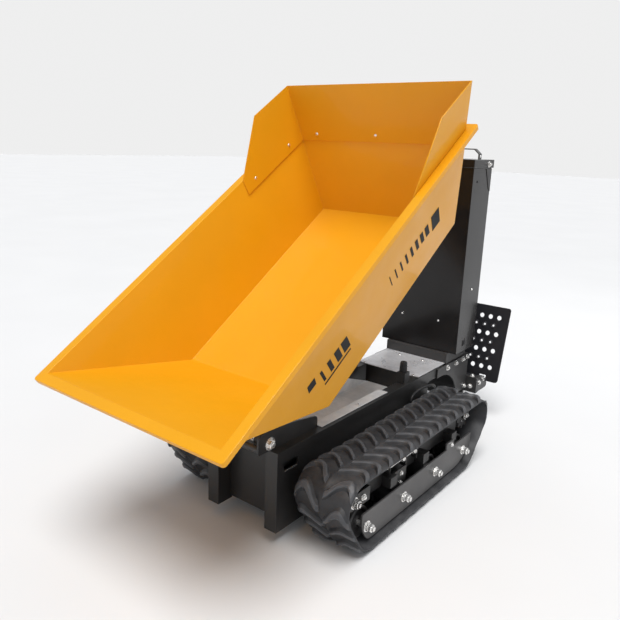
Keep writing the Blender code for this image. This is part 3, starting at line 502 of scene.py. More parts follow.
def sheet(name, bm, mat, body, stands_for, place, thickness, offset, fold, outer):
    """Folded sheet metal: an open surface with its bends rounded, given thickness.

    outer(bm) says whether the faces look the wrong way and have to be turned round.
    """
    bends = [e for e in bm.edges if len(e.link_faces) == 2 and e.calc_face_angle() > 0.2]
    bmesh.ops.bevel(bm, geom=bends, offset=fold, segments=4, profile=0.5, affect="EDGES",
                    clamp_overlap=True)
    bmesh.ops.recalc_face_normals(bm, faces=bm.faces)
    if outer(bm):
        bmesh.ops.reverse_faces(bm, faces=bm.faces)
    obj = piece(name, bm, mat, body, stands_for, place=place, sharp=40.0)
    solid = obj.modifiers.new("sheet", "SOLIDIFY")
    solid.thickness = thickness
    solid.offset = offset
    solid.use_even_offset = True
    soft = obj.modifiers.new("edges", "BEVEL")
    soft.width = 0.0007
    soft.segments = 2
    soft.limit_method = "ANGLE"
    soft.angle_limit = math.radians(50)
    soft.harden_normals = True
    return obj


# ---------------------------------------------------------------- skip

def wall_x(rise):
    """Outer face of the skip's side wall at a height above the rim."""
    return INNER_HALF + WALL_FLARE * rise + SHEET * math.sqrt(1 + WALL_FLARE ** 2)


def skip_tub():
    """Tub with a flat rim that is turned down at its outer edge."""
    bm = bmesh.new()
    bmesh.ops.create_cube(bm, size=1.0)
    for v in bm.verts:
        top, back = v.co.z > 0, v.co.y > 0
        half = INNER_HALF if top else FLOOR_HALF
        y = (REAR_Y if back else LIP_Y + FLANGE) if top else (FLOOR_Y1 if back else FLOOR_Y0)
        v.co = (math.copysign(half, v.co.x), y, RIM_Z if top else RIM_Z - SKIP_DEPTH)
    bmesh.ops.delete(bm, geom=[f for f in bm.faces if f.normal.z > 0.5], context="FACES_ONLY")
    for spread, drop in ((FLANGE, 0.0), (0.0, FLANGE_DROP)):
        rim = [e for e in bm.edges if e.is_boundary]
        made = bmesh.ops.extrude_edge_only(bm, edges=rim)["geom"]
        lower = [g for g in made if isinstance(g, bmesh.types.BMVert)]
        for v in lower:
            v.co.x += math.copysign(spread, v.co.x)
            v.co.y += spread if v.co.y > FLOOR_Y0 else -spread
            v.co.z -= drop
    low = set(lower)   # the turned-down edge: its upright edges are the rim's corners
    corners = [e for e in bm.edges if (e.verts[0] in low) != (e.verts[1] in low)]
    bmesh.ops.bevel(bm, geom=corners, offset=0.009, segments=5, profile=0.5, affect="EDGES")
    sheet("skip_tub", bm, YELLOW, "skip", ["skip"], SKIP, SHEET, 1.0, 0.0032,
          lambda b: min(b.faces, key=lambda f: f.calc_center_median().z).normal.z > 0)


def spill_guard():
    """Three-sided sheet bolted inside the back of the tub, standing above its rim."""
    bm = bmesh.new()
    bmesh.ops.create_grid(bm, x_segments=3, y_segments=2, size=1.0)
    for v in bm.verts:
        rise = (GUARD_BOTTOM, 0.0, GUARD_TOP)[round(v.co.y) + 1]
        x = INNER_HALF + WALL_FLARE * rise - GUARD_CLEAR
        y = REAR_Y + REAR_RAKE * rise - GUARD_CLEAR
        if abs(v.co.x) > 0.5:
            y = GUARD_FRONT[rise]
        v.co = (math.copysign(x, v.co.x), y, RIM_Z + rise)
    sheet("guard_sheet", bm, YELLOW, "skip", ["spill_guard"], SKIP, SHEET, -1.0, 0.004,
          lambda b: max(b.faces, key=lambda f: f.calc_center_median().y).normal.y < 0)


def guard_bolts():
    """Button heads on the guard's inside, and nuts behind those on its sides."""
    head, height, seat = 0.0062, 0.0034, 0.0035
    rear_drop, side_drop = 0.026, 0.023
    lean, flare = math.atan(REAR_RAKE), math.atan(WALL_FLARE)
    bm = bmesh.new()
    for x in (-0.237, 0.0, 0.237):
        spot = Matrix.Translation((x, REAR_Y - rear_drop * REAR_RAKE - seat, RIM_Z - rear_drop))
        dome(bm, SKIP @ spot @ Matrix.Rotation(math.pi / 2 - lean, 4, "X"), head, height)
    for s in (-1, 1):
        for y in (0.686, 0.883):
            inside = s * (INNER_HALF - side_drop * WALL_FLARE - seat)
            spot = Matrix.Translation((inside, y, RIM_Z - side_drop))
            turn = Matrix.Rotation(-s * (math.pi / 2 + flare), 4, "Y")
            dome(bm, SKIP @ spot @ turn, head, height)
            spot = Matrix.Translation((s * wall_x(-side_drop), y, RIM_Z - side_drop - 0.0002))
            turn = Matrix.Rotation(s * (math.pi / 2 - flare), 4, "Y")
            nut(bm, SKIP @ spot @ turn, 0.0058, 0.0045)
    piece("guard_bolts", bm, BOLT, "skip", place=RIGHT_WAY)


def slanted_bar(u0, u1, w0, w1, slant):
    """Outline of a bar from u0 to u1 behind the lip and from w0 to w1 above the rim."""
    return [(u0, w1), (u1, w1), (u1 - slant, w0), (u0 - slant, w0)]


def stripe_outlines():
    """Two rows of bars that get narrower forwards, a block beside each and a thin line."""
    bars = [slanted_bar(0.969, 1.019, -0.1965, -0.1395, -0.007),
            slanted_bar(0.3025, 0.335, -0.161, -0.1365, -0.001)]
    for i, width in enumerate((0.036, 0.030, 0.025, 0.020, 0.016, 0.012, 0.009, 0.006)):
        u = 0.925 - 0.0305 * i
        bars.append(slanted_bar(u, u + width * 0.62, -0.187, -0.147, -0.010))
    for i, width in enumerate((0.030, 0.023, 0.016, 0.010)):
        u = 0.455 - 0.033 * i
        bars.append(slanted_bar(u, u + width, -0.190, -0.145, -0.010))
    bars.append(slanted_bar(0.365, 0.492, -0.205, -0.199, -0.001))
    return bars


def side_stripes():
    """Plain slanted bars of thin film on both outer walls."""
    for side, s in SIDES:
        bm = bmesh.new()
        for shape in stripe_outlines():
            low, top = [[bm.verts.new((s * (wall_x(w) + lift), LIP_Y + u, RIM_Z + w))
                         for u, w in shape] for lift in (0.0002, 0.0006)]
            bm.faces.new(top)
            bm.faces.new(low[::-1])
            for k in range(4):
                bm.faces.new((low[k], low[(k + 1) % 4], top[(k + 1) % 4], top[k]))
        bmesh.ops.recalc_face_normals(bm, faces=bm.faces)
        piece(f"side_stripes_{side}", bm, FILM_AND_PAINTED_SHADE, "skip", place=SKIP)


def pivot_and_ram():
    """The ram with its frame and bracket, the pivot bolt and the bar ahead of it."""
    dress("skip_frame", BLACK, 0.0009)
    dress("ram_bracket", BLACK, 0.0008)
    dress("ram_barrel", BLACK, 0.0010)
    dress("ram_rod", CHROME, 0.0006)
    bm = bmesh.new()
    disc(bm, SHAFT_R, -0.108, 0.108, at("X", 0.0, PIVOT.z, 0.0), 40)
    for s in (-1, 1):
        where = at("X", 0.0, PIVOT.z, s * EAR_X) @ facing(s)
        disc(bm, 0.0192, 0.0, WASHER, where, 40)
        nut(bm, where @ Matrix.Translation((0, 0, WASHER)), 0.0125, 0.0075, 0.0165, 0.0015)
    piece("pivot_bolt", bm, BOLT, "chassis", ["pivot_shaft"], bevel=0.0004)
    bm = bmesh.new()
    disc(bm, 0.0105, -0.0997, 0.0997, at("X", -0.0335, 0.3005, 0.0), 40)
    piece("spacer_bar", bm, SATIN, "chassis", ["front_spacer"], bevel=0.0008)


# ---------------------------------------------------------------- chassis

def chassis():
    """Rails, panels, brackets, zinc sheets and the battery."""
    for node in ("side_rail_l", "side_rail_r", "front_panel", "belly_plate", "cross_member"):
        dress(node, BLACK, 0.0011)
    for node in ("drive_bracket_l", "drive_bracket_r", "footplate_bracket"):
        dress(node, SATIN, 0.0010)
    dress("rear_deck", ZINC, 0.0006)
    dress("galvanised_tray", TRAY_ZINC_PAINTED_REFLECTION, 0.0005)
    dress("battery_pack", PLASTIC, 0.0040, 3)


def rest_blocks():
    """Rubber blocks that the lowered skip rests on."""
    z0, z1 = BLOCK_Z0, BLOCK_Z1
    profile = [(0.0005, z0), (0.0128, z0), (0.0135, z0 + 0.003), (0.0130, z1 - 0.009),
               (0.0122, z1 - 0.003), (0.0100, z1), (0.0056, z1), (0.0046, z1 - 0.004),
               (0.0005, z1 - 0.004)]
    for side, s in reversed(SIDES):
        bm = bmesh.new()
        lathe(bm, profile, Matrix.Translation((s * BLOCK_X, BLOCK_Y, 0.0)))
        piece(f"rest_block_{side}", bm, SOFT_RUBBER, "chassis", [f"rest_buffer_{side}"])


def chassis_fasteners():
    """Nuts and screws of the brackets, decks, blocks and track frames."""
    zinc = bmesh.new()
    for s in (-1, 1):
        for y, z in ((1.011, 0.2728), (1.0856, 0.274), (1.1500, 0.2745), (1.1915, 0.2745)):
            nut(zinc, at("X", y, z, s * BRACKET_X) @ facing(s), 0.0085, 0.0060, 0.0110, 0.003,
                spin=y)
        nut(zinc, at("X", 1.187, 0.1485, s * BRACKET_X) @ facing(s), 0.0080, 0.0060, 0.0100, 0.003)
        nut(zinc, at("X", 1.235, 0.1600, s * 0.1860) @ facing(s), 0.0080, 0.0055, 0.0100, 0.0)
        nut(zinc, at("Y", s * 0.162, 0.146, 1.2055), 0.0080, 0.0060, 0.0100, 0.003)
        nut(zinc, Matrix.Translation((s * 0.163, 1.2168, 0.1860)), 0.0080, 0.0060, 0.0100, 0.003)
        for x, y, z in ((0.106, 0.798, 0.2914), (0.052, 0.9725, 0.2914), (0.105, 0.430, 0.2909)):
            dome(zinc, Matrix.Translation((s * x, y, z)), 0.0060, 0.0030)
        nut(zinc, Matrix.Translation((s * BLOCK_X, BLOCK_Y, BLOCK_Z1 - 0.0040)), 0.0042, 0.0025)
        # bright lip under the slot in the rail
        box(zinc, s * 0.1352, s * 0.1362, 0.031, 0.087, 0.2242, 0.2256)
        # inside the rail, round the ends of the track frame's arms
        for y, z in ((0.285, 0.150), (0.315, 0.125), (0.685, 0.150), (0.715, 0.125)):
            nut(zinc, at("X", y, z, s * 0.1290) @ facing(-s), 0.0065, 0.0050, 0.0085, 0.002)
    piece("chassis_fasteners", zinc, BOLT, "chassis", bevel=0.0002, segs=1)


# ---------------------------------------------------------------- tracks

def hull(points):
    """Convex outline, anticlockwise."""
    points = sorted(set(points))

    def half(pts):
        out = []
        for p in pts:
            while len(out) > 1 and ((out[-1][0] - out[-2][0]) * (p[1] - out[-2][1])
                                    - (out[-1][1] - out[-2][1]) * (p[0] - out[-2][0])) <= 0:
                out.pop()
            out.append(p)
        return out[:-1]

    return half(points) + half(points[::-1])


class BeltLine:
    """The belt's inner line, and points counted along it and out from it."""

    def __init__(self):
        circles = [(*IDLER, END_R), (*SPROCKET, END_R), (ROLLER_Y0, ROLLER_Z, ROLL_R),
                   (ROLLER_Y0 + 3 * ROLLER_PITCH, ROLLER_Z, ROLL_R)]
        line = hull([p for y, z, r in circles for p in ring(r, y, z, 120)])
        self.points = []
        for (y0, z0), (y1, z1) in zip(line, line[1:] + line[:1]):
            n = max(1, int(math.hypot(y1 - y0, z1 - z0) / 0.012))
            for i in range(n):
                y, z = y0 + (y1 - y0) * i / n, z0 + (z1 - z0) * i / n
                if z > IDLER[1] and SAG_Y < y < SAG_Y + SAG_LEN:
                    z -= SAG * math.sin(math.pi * (y - SAG_Y) / SAG_LEN) ** 2
                self.points.append((y, z))
        self.steps = [math.dist(a, b) for a, b in zip(self.points,
                                                      self.points[1:] + self.points[:1])]
        self.total = sum(self.steps)

    def at(self, dist):
        """The point at a distance along the line."""
        dist %= self.total
        for i, step in enumerate(self.steps):
            if dist <= step:
                a, b = self.points[i], self.points[(i + 1) % len(self.points)]
                return a[0] + (b[0] - a[0]) * dist / step, a[1] + (b[1] - a[1]) * dist / step
            dist -= step
        return self.points[0]

    def out(self, dist, height):
        """The point at a distance along the line and a height out from it."""
        p, a, b = self.at(dist), self.at(dist - 0.008), self.at(dist + 0.008)
        length = math.dist(a, b)
        return (p[0] + (b[1] - a[1]) / length * height, p[1] - (b[0] - a[0]) / length * height)


def lug_sweep(t):
    """How far a lug's middle runs ahead, from the belt's centre (0) to its edge (1)."""
    knots = ((0.0, -0.040), (0.2, -0.029), (0.42, -0.010), (0.60, -0.001), (0.72, 0.0),
             (0.86, -0.007), (1.0, -0.024))
    for (t0, a), (t1, b) in zip(knots, knots[1:]):
        if t <= t1:
            k = (t - t0) / (t1 - t0)
            return a + (b - a) * k
    return knots[-1][1]


def carcass(bm, line, middle):
    """The belt without its lugs, with a low rib along its outer face."""
    half = [(0.0620, 0.0002), (0.0740, 0.0092), (0.0880, 0.0106), (0.0898, 0.0120),
            (0.0898, 0.0140), (0.0870, 0.0162), (0.0500, 0.0178), (0.0090, 0.0182),
            (0.0040, 0.0212)]
    section = half + [(-x, h) for x, h in reversed(half)]
    steps, count = 192, len(section)
    rings = [[bm.verts.new((middle + x, *line.out(line.total * i / steps, h)))
              for x, h in section] for i in range(steps)]
    for i in range(steps):
        a, b = rings[i], rings[(i + 1) % steps]
        for k in range(count):
            k1 = (k + 1) % count
            bm.faces.new((a[k], b[k], b[k1], a[k1]))


def lug(bm, line, middle, out, start):
    """One tread lug that sweeps from the belt's centre to its edge, its top in a paler copy of the rubber as
    painted light.
    """
    cut = [(-0.0190, 0.0135), (-0.0088, 0.0255), (-0.0048, 0.0293), (0.0048, 0.0293),
           (0.0080, 0.0262), (0.0165, 0.0135)]
    spans = (0.045, 0.10, 0.20, 0.31, 0.42, 0.51, 0.60, 0.66, 0.72, 0.79, 0.86, 0.93, 0.97, 1.0)
    tallest, shoulder = 0.0293, 0.78
    rings = []
    for t in spans:
        points = []
        for along, height in cut:
            if t == spans[0]:
                height = min(height, 0.0205)
            elif t == spans[-1]:
                height = min(height, 0.0175)
            elif t > shoulder:
                height = min(height, tallest - 0.040 * (t - shoulder))
            d = start - lug_sweep(t) + along * (0.80 + 0.30 * t)
            x = middle + out * min(BELT_HALF * t, 0.0896)
            points.append(bm.verts.new((x, *line.out(d, height))))
        rings.append(points)
    for a, b in zip(rings, rings[1:]):
        for k in range(len(cut) - 1):
            wall = bm.faces.new((a[k], a[k + 1], b[k + 1], b[k]))
            # upper flanks and top of the lug take the paler copy: painted light
            wall.material_index = 1 if 0 < k < len(cut) - 2 else 0
        bm.faces.new((a[-1], a[0], b[0], b[-1]))
    bm.faces.new(rings[0])
    bm.faces.new(rings[-1][::-1])


def guide_lug(bm, line, middle, d):
    """A small block on the belt's inside, narrower towards its tip."""
    quad = [[bm.verts.new((middle + x, *line.out(d + a, height)))
             for x, a in ((-wide, -long), (wide, -long), (wide, long), (-wide, long))]
            for height, wide, long in ((0.0008, 0.0105, 0.013), (-0.0100, 0.0070, 0.006))]
    for k in range(4):
        k1 = (k + 1) % 4
        bm.faces.new((quad[0][k], quad[0][k1], quad[1][k1], quad[1][k]))
    bm.faces.new(quad[0][::-1])
    bm.faces.new(quad[1])


def belt(line, side, s):
    """Rubber belt with two rows of lugs outside and guide lugs inside."""
    bm = bmesh.new()
    middle, pitch = s * TRACK_X, line.total / LUGS
    carcass(bm, line, middle)
    for i in range(LUGS):
        for row, shift in ((1, 0.0), (-1, 0.5)):
            lug(bm, line, middle, s * row, (i + shift) * pitch)
        d = (i + 0.25) * pitch
        if line.at(d)[0] < 0.78:   # on the straight and idler stretches only
            guide_lug(bm, line, middle, d)
    bmesh.ops.recalc_face_normals(bm, faces=bm.faces)
    obj = piece(f"rubber_belt_{side}", bm, RUBBER, "chassis", [f"track_belt_{side}"],
                bevel=0.0007, segs=1, sharp=38.0)
    obj.data.materials.append(TREAD_PAINTED_LIGHT)


def wheel(name, node, profile, y, z, s):
    """A grey wheel turned about its axle."""
    bm = bmesh.new()
    lathe(bm, profile, at("X", y, z, s * TRACK_X))
    bmesh.ops.recalc_face_normals(bm, faces=bm.faces)
    piece(name, bm, GREY, BODY_OF[node], [node])


def wheels(side, s):
    """Four rollers and the idler, each with a groove for the guide lugs."""
    half, r = 0.0455, ROLL_R - 0.0008
    roller = mirrored([(0.0090, half - 0.004), (0.0150, half - 0.003), (0.0170, half - 0.010),
                       (r - 0.009, half - 0.010), (r - 0.007, half), (r - 0.003, half),
                       (r, half - 0.003), (r, 0.018), (0.0370, 0.0140)])
    for i in range(4):
        wheel(f"road_wheel_{side}{i + 1}", f"roller_{side}{i + 1}", roller,
              ROLLER_Y0 + i * ROLLER_PITCH, ROLLER_Z, s)
    half, r = 0.0398, END_R - 0.0008
    idler = mirrored([(0.0100, half), (0.0200, half), (0.0220, half - 0.014),
                      (r - 0.010, half - 0.014), (r - 0.008, half), (r - 0.003, half),
                      (r, half - 0.003), (r, 0.018), (0.0390, 0.014)])
    wheel(f"front_wheel_{side}", f"idler_{side}", idler, *IDLER, s)


def side_plate(side, s):
    """Long plate outside the rollers, with a step near its rear end."""
    outline = rounded([(0.126, 0.1250), (0.126, 0.080), (0.158, 0.0320), (0.735, 0.0320),
                       (0.822, 0.0680), (0.830, 0.1250), (0.690, 0.1250), (0.690, 0.1500),
                       (0.636, 0.1500), (0.636, 0.1250)],
                      [0.008, 0.02, 0.02, 0.03, 0.02, 0.008, 0, 0.006, 0.006, 0])
    plate = fill("X", s * OUTER_X, s * (OUTER_X + PLATE), outline)
    piece(f"side_plate_{side}", plate, GREY, "chassis", [f"roller_plate_{side}"], bevel=0.0009)


def axle_nuts(zinc, s):
    """Roller axles with two nuts each, and the nuts of the idler and the sprocket."""
    for i in range(4):
        y = ROLLER_Y0 + i * ROLLER_PITCH
        disc(zinc, 0.0078, -0.1314, 0.0, at("X", y, ROLLER_Z, s * OUTER_X) @ facing(s), 32)
        where = at("X", y, ROLLER_Z, s * (OUTER_X + PLATE)) @ facing(s)
        nut(zinc, where, 0.0130, 0.0080, 0.0165, 0.0, spin=0.3 + i)
        disc(zinc, 0.0072, 0.005, 0.0245, where, 28)
        nut(zinc, where @ Matrix.Translation((0, 0, 0.0105)), 0.0130, 0.0090, spin=0.8 + i)
    where = at("X", *IDLER, s * 0.3260) @ facing(s)
    nut(zinc, where, 0.0142, 0.0095, 0.0170, spin=0.5)
    nut(zinc, where @ Matrix.Translation((0, 0, 0.0110)), 0.0122, 0.0070, stud=0.0020, spin=0.1)
    nut(zinc, at("X", 0.140, 0.172, s * 0.3270) @ facing(s), 0.0080, 0.0050, 0.0100, 0.003)
    nut(zinc, at("X", *SPROCKET, s * 0.3000) @ facing(s), 0.0110, 0.0070, 0.0150, 0.004)
    for u, v in ring(0.026, *SPROCKET, 5, 0.3):
        nut(zinc, at("X", u, v, s * 0.2930) @ facing(s), 0.0048, 0.0040)


def tensioner(zinc, side, s):
    """Screw that runs along the track's beam, with its nuts and the tabs that carry it."""
    where = at("Y", s * SCREW_X, SCREW_Z, 0.0) @ Matrix.Rotation(math.pi, 4, "X")
    disc(zinc, 0.0044, 0.292, 0.474, where, 20)
    for y in (0.386, 0.455):
        nut(zinc, at("Y", s * SCREW_X, SCREW_Z, y), 0.0105, 0.0085, 0.0120)
    tabs = bmesh.new()
    for y in (0.300, 0.394, 0.463):
        box(tabs, s * 0.2960, s * 0.3160, y - 0.002, y + 0.002, 0.160, 0.196)
    piece(f"tension_tabs_{side}", tabs, TRACK_BLACK, "chassis",
          bevel=0.0006)


def motor_hose(side, s):
    """Hose loop between the rail and the drive motor."""
    bm = bmesh.new()
    tube(bm, smooth_path([(s * x, y, z) for x, y, z in HOSE_ROUTE]), 0.0054)
    bmesh.ops.recalc_face_normals(bm, faces=bm.faces)
    piece(f"motor_hose_{side}", bm, HOSE, "chassis", [f"drive_cable_{side}"])


def track(line, side, s):
    """Everything on one side's track."""
    belt(line, side, s)
    wheels(side, s)
    dress(f"drive_sprocket_{side}", GREY, 0.0008)
    dress(f"track_frame_{side}", TRACK_BLACK, 0.0010)
    dress(f"idler_carrier_{side}", TRACK_BLACK, 0.0009)
    dress(f"drive_motor_{side}", BLACK, 0.0012)
    side_plate(side, s)
    zinc = bmesh.new()
    axle_nuts(zinc, s)
    tensioner(zinc, side, s)
    for x, y, z in ((0.3195, 0.360, 0.120), (0.3195, 0.360, 0.152), (0.337, 0.672, 0.135)):
        nut(zinc, at("X", y, z, s * x) @ facing(s), 0.0058, 0.0045, 0.0075)
    piece(f"track_fasteners_{side}", zinc, BOLT, "chassis", bevel=0.0003,
          segs=1)
    motor_hose(side, s)


# ---------------------------------------------------------------- tower and controls

def tower_screws():
    """Screws on the tower's front, sides and back, and the nuts of the grab handle's plates."""
    zinc = bmesh.new()
    for s in (-1, 1):
        dome(zinc, at("Y", s * 0.080, 0.450, 1.020), 0.0042, 0.0022)
        nut(zinc, at("X", 1.143, 1.050, s * 0.1700) @ facing(s), 0.0085, 0.0055, 0.0110, 0.004)
        dome(zinc, at("X", 1.109, 0.576, s * 0.1670) @ facing(s), 0.0048, 0.0026)
        dome(zinc, at("X", 1.062, 1.0788, s * 0.1680) @ facing(s), 0.0050, 0.0026)
        for z in (0.350, 0.560, 0.780, 1.010):
            where = at("Y", s * 0.150, z, 1.1828) @ Matrix.Rotation(math.pi, 4, "X")
            dome(zinc, where, 0.0050, 0.0026)
    piece("tower_screws", zinc, BOLT, "chassis")


def tower_marks():
    """Satin-black wedge on each side of the tower as a painted dark reflection, and black film as painted shade
    for a notch and a small hole.
    """
    dark = bmesh.new()
    for side, s in reversed(SIDES):
        # painted reflection: a dark wedge where the glossy side shows a dark reflection
        wedge = fill("X", s * TOWER_X, s * (TOWER_X + 0.0019),
                     [(1.128, 1.034), (1.178, 1.034), (1.178, 0.950), (1.166, 0.958)])
        piece(f"painted_reflection_wedge_{side}", wedge, SATIN, "chassis", bevel=0.0004)
        # painted shade: black film shaped like a notch
        notch = fill("X", s * TOWER_X, s * (TOWER_X + 0.0004),
                     [(1.068, 0.352), (1.092, 0.357), (1.090, 0.382), (1.079, 0.372),
                      (1.066, 0.379)])
        piece(f"notch_painted_shade_{side}", notch, FILM_AND_PAINTED_SHADE, "chassis")
        # painted shade: a black disc for a small hole
        disc(dark, 0.0050, 0.0, 0.0004, at("X", 1.0585, 0.9875, s * 0.1670) @ facing(s), 24)
    return dark


def tower():
    """Housing, cap, base, handle and what is fixed to them."""
    dress("tower_shell", GLOSS, 0.0010)
    dress("tower_base", SATIN, 0.0015)
    dress("tower_cap", GLOSS, 0.0022, 3)
    dress("grab_handle", SATIN, 0.0012)
    dress("tower_rear_panel", BLACK, 0.0005)
    dress("hydraulic_unit", GREY, 0.0030)
    dark = tower_marks()
    tower_screws()
    piece("hole_painted_shade", dark, FILM_AND_PAINTED_SHADE, "chassis")


def lever(name, mat, slope):
    """Rod with a hexagon, a knob and a rubber boot that all swing together."""
    where = Matrix.Translation(Vector(JOINTS[f"{name}_swing"]["pos_m"])) @ slope
    length = 0.070 if name == "tip_lever" else 0.085
    rod = bmesh.new()
    disc(rod, 0.0044, -0.004, length, where, 24)
    disc(rod, 0.0062, length - 0.012, length - 0.006, where, 6)
    piece(f"{name}_rod", rod, BOLT, BODY_OF[name], place=RIGHT_WAY)
    knob = bmesh.new()
    bmesh.ops.create_uvsphere(knob, u_segments=32, v_segments=20, radius=0.0133,
                              matrix=where @ Matrix.Translation((0, 0, length + 0.006)))
    disc(knob, 0.0075, length - 0.010, length, where, 32, 0.0100)
    piece(f"{name}_knob", knob, mat, BODY_OF[name], [name], place=RIGHT_WAY)
    boot = bmesh.new()
    lathe(boot, [(0.0047, 0.0285), (0.0062, 0.0285), (0.0072, 0.0262), (0.0060, 0.0246),
                 (0.0072, 0.0222), (0.0060, 0.0205), (0.0047, 0.0205)], where)
    piece(f"{name}_boot", boot, SOFT_RUBBER, BODY_OF[name],
          place=RIGHT_WAY)


def controls():
    """Console, handlebar, levers and stop button."""
    dress("control_console", PLASTIC, 0.0030, 3)
    dress("handlebar", SATIN, 0.0005)
    out = -Vector(JOINTS["stop_button_press"]["axis"]).normalized()
    slope = Matrix.Rotation(math.atan2(-out.y, out.z), 4, "X")
    for name, mat in (("drive_lever_l", KNOB), ("drive_lever_r", KNOB), ("tip_lever", RED)):
        lever(name, mat, slope)
    lo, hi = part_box("stop_button")
    middle = Matrix.Translation((lo + hi) / 2 + out * 0.0075)
    cap = bmesh.new()
    lathe(cap, [(0.0004, 0.0074), (0.0120, 0.0072), (0.0165, 0.0058), (0.0178, 0.0030),
                (0.0178, -0.0010), (0.0160, -0.0030), (0.0078, -0.0034), (0.0078, -0.0190),
                (0.0004, -0.0190)], middle @ slope)
    piece("stop_cap", cap, RED, "stop_button", ["stop_button"], place=RIGHT_WAY)


def footplate():
    """Perforated plate: rows of large holes take turns with rows of small raised ones."""
    hinge = Vector(JOINTS["footplate_fold"]["pos_m"])
    place = Matrix.Translation(hinge) @ Matrix.Rotation(-FOOT_LEAN, 4, "X")
    h, top = FOOT_HALF, FOOT_TOP
    outline = rounded([(-h, -0.006), (-0.197, -0.006), (-0.197, 0.018), (-0.168, 0.018),
                       (-0.168, -0.002), (0.168, -0.002), (0.168, 0.018), (0.197, 0.018),
                       (0.197, -0.006), (h, -0.006), (h, top), (-h, top)],
                      [0.016, 0, 0, 0, 0, 0, 0, 0, 0, 0.016, 0.012, 0.012])
    spots = []
    for row in range(7):
        count = 11 if row % 2 else 12
        spots += [((i - (count - 1) / 2) * HOLE_PITCH, HOLE_ROW0 + HOLE_ROWS * row, row % 2)
                  for i in range(count)]
    holes = [ring(0.0046 if raised else 0.0096, x, v, 20, 0.1) for x, v, raised in spots]
    plate = fill("Y", -0.0016, 0.0016, outline, holes, place)
    piece("tread_plate", plate, TREAD_PLATE, "footplate", ["footplate"], place=RIGHT_WAY,
          bevel=0.0006)
    rims = bmesh.new()
    for x, v, raised in spots:
        where = place @ AXES["Y"] @ Matrix.Translation((x, v, 0.0))
        if raised:   # pressed up towards the operator's side, with a small hole
            lathe(rims, [(0.0048, 0.0012), (0.0118, 0.0012), (0.0092, 0.0050), (0.0078, 0.0054),
                         (0.0064, 0.0044)], where, 24)
        else:        # collar pressed to the other side
            lathe(rims, [(0.0097, -0.0012), (0.0112, -0.0012), (0.0106, -0.0028),
                         (0.0097, -0.0030)], where, 24)
    knuckle = [(0.0063, -0.055), (0.0095, -0.055), (0.0095, 0.055), (0.0063, 0.055)]
    for s in (-1, 1):
        lathe(rims, knuckle, place @ at("X", 0.0, 0.0, s * 0.110), 32)
    bmesh.ops.recalc_face_normals(rims, faces=rims.faces)
    piece("tread_rims", rims, TREAD_PLATE, "footplate", place=RIGHT_WAY)
    pins = bmesh.new()
    for s in (-1, 1):
        where = at("X", hinge.y - PIVOT.y, hinge.z, s * 0.1865) @ facing(s)
        nut(pins, where, 0.0090, 0.0050)
    piece("hinge_nuts", pins, BOLT, "chassis")


# ---------------------------------------------------------------- studio

def sky(scene):
    """Pale up to a little above the horizon, darker overhead."""
    world = bpy.data.worlds.new("studio")
    scene.world = world
    world.use_nodes = True
    tree = world.node_tree
    background = tree.nodes["Background"]
    background.inputs["Strength"].default_value = 1.0
    where = tree.nodes.new("ShaderNodeTexCoord")
    split = tree.nodes.new("ShaderNodeSeparateXYZ")
    ramp = tree.nodes.new("ShaderNodeValToRGB")
    low, high = ramp.color_ramp.elements
    low.position, low.color = 0.22, (0.86, 0.86, 0.86, 1.0)
    high.position, high.color = 0.40, (0.33, 0.34, 0.36, 1.0)
    tree.links.new(where.outputs["Generated"], split.inputs[0])
    tree.links.new(split.outputs["Z"], ramp.inputs["Fac"])
    tree.links.new(ramp.outputs["Color"], background.inputs["Color"])


def ground(scene):
    """Plain pale floor."""
    floor = Look("floor", (0.75, 0.75, 0.75), 0.75)
    cloud = floor.ramp(floor.noise(1.3, 2.0), 0.3, 0.7)
    floor.base(floor.mix(cloud, (0.74, 0.74, 0.74), (0.76, 0.76, 0.76)))
    bm = bmesh.new()
    bmesh.ops.create_grid(bm, x_segments=1, y_segments=1, size=30.0)
    mesh = bpy.data.meshes.new("floor")
    bm.to_mesh(mesh)
    bm.free()
    mesh.materials.append(floor.mat)
    obj = bpy.data.objects.new("floor", mesh)
    obj.location = (0.0, 0.0, -0.0005)
    scene.collection.objects.link(obj)


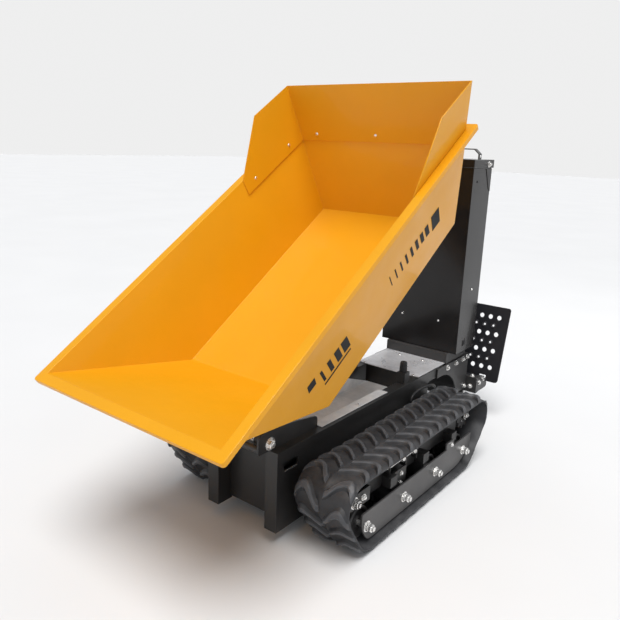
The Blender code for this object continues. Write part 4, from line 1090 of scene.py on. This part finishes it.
def lamp(scene, light, direction, spot=(0.0, 0.0, 0.0)):
    """Puts a light in the scene, shining along a direction."""
    obj = bpy.data.objects.new(light.name, light)
    obj.location = spot
    obj.rotation_euler = Vector(direction).to_track_quat("-Z", "Y").to_euler()
    scene.collection.objects.link(obj)


def lamps(scene):
    """A wide soft sun, a faint fill from the left and a rim light from behind."""
    sun = bpy.data.lights.new("key", "SUN")
    sun.energy, sun.angle = 2.9, math.radians(34)
    lamp(scene, sun, (-0.9, 1.2, -4.0))
    for name, spot, aim, size, power in (
            ("fill", (3.6, -1.2, 1.7), (0.1, 0.0, 0.5), 2.2, 2.0),
            ("rim", (0.8, 3.0, 2.8), (0.0, 0.1, 0.6), 2.0, 14.0)):
        light = bpy.data.lights.new(name, "AREA")
        light.shape = "DISK"
        light.size, light.energy = size, power
        lamp(scene, light, Vector(aim) - Vector(spot), spot)


def viewpoint(scene):
    """Camera ahead of the machine's left front corner, above it and slightly rolled."""
    azimuth, elevation, roll = math.radians(37.29), math.radians(14.64), math.radians(2.166)
    back = Vector((math.sin(azimuth) * math.cos(elevation),
                   -math.cos(azimuth) * math.cos(elevation), math.sin(elevation)))
    right = (-back).cross(Vector((0, 0, 1))).normalized()
    up = back.cross(right)
    turned_right = right * math.cos(roll) + up * math.sin(roll)
    turned_up = up * math.cos(roll) - right * math.sin(roll)
    camera = bpy.data.cameras.new("camera")
    camera.lens, camera.sensor_width = 37.33, 36.0
    obj = bpy.data.objects.new("camera", camera)
    matrix = Matrix((turned_right, turned_up, back)).transposed().to_4x4()
    matrix.translation = Vector((1.1499, -1.2132 + PIVOT.y, 1.1068))
    obj.matrix_world = matrix
    scene.collection.objects.link(obj)
    scene.camera = obj


def studio():
    """Surroundings, lights and camera."""
    scene = bpy.context.scene
    scene.view_settings.view_transform = "Standard"
    scene.view_settings.look = "None"
    sky(scene)
    ground(scene)
    lamps(scene)
    viewpoint(scene)


skip_tub()
spill_guard()
guard_bolts()
side_stripes()
pivot_and_ram()
chassis()
rest_blocks()
chassis_fasteners()
belt_line = BeltLine()
for side_name, side_sign in SIDES:
    track(belt_line, side_name, side_sign)
tower()
controls()
footplate()
studio()
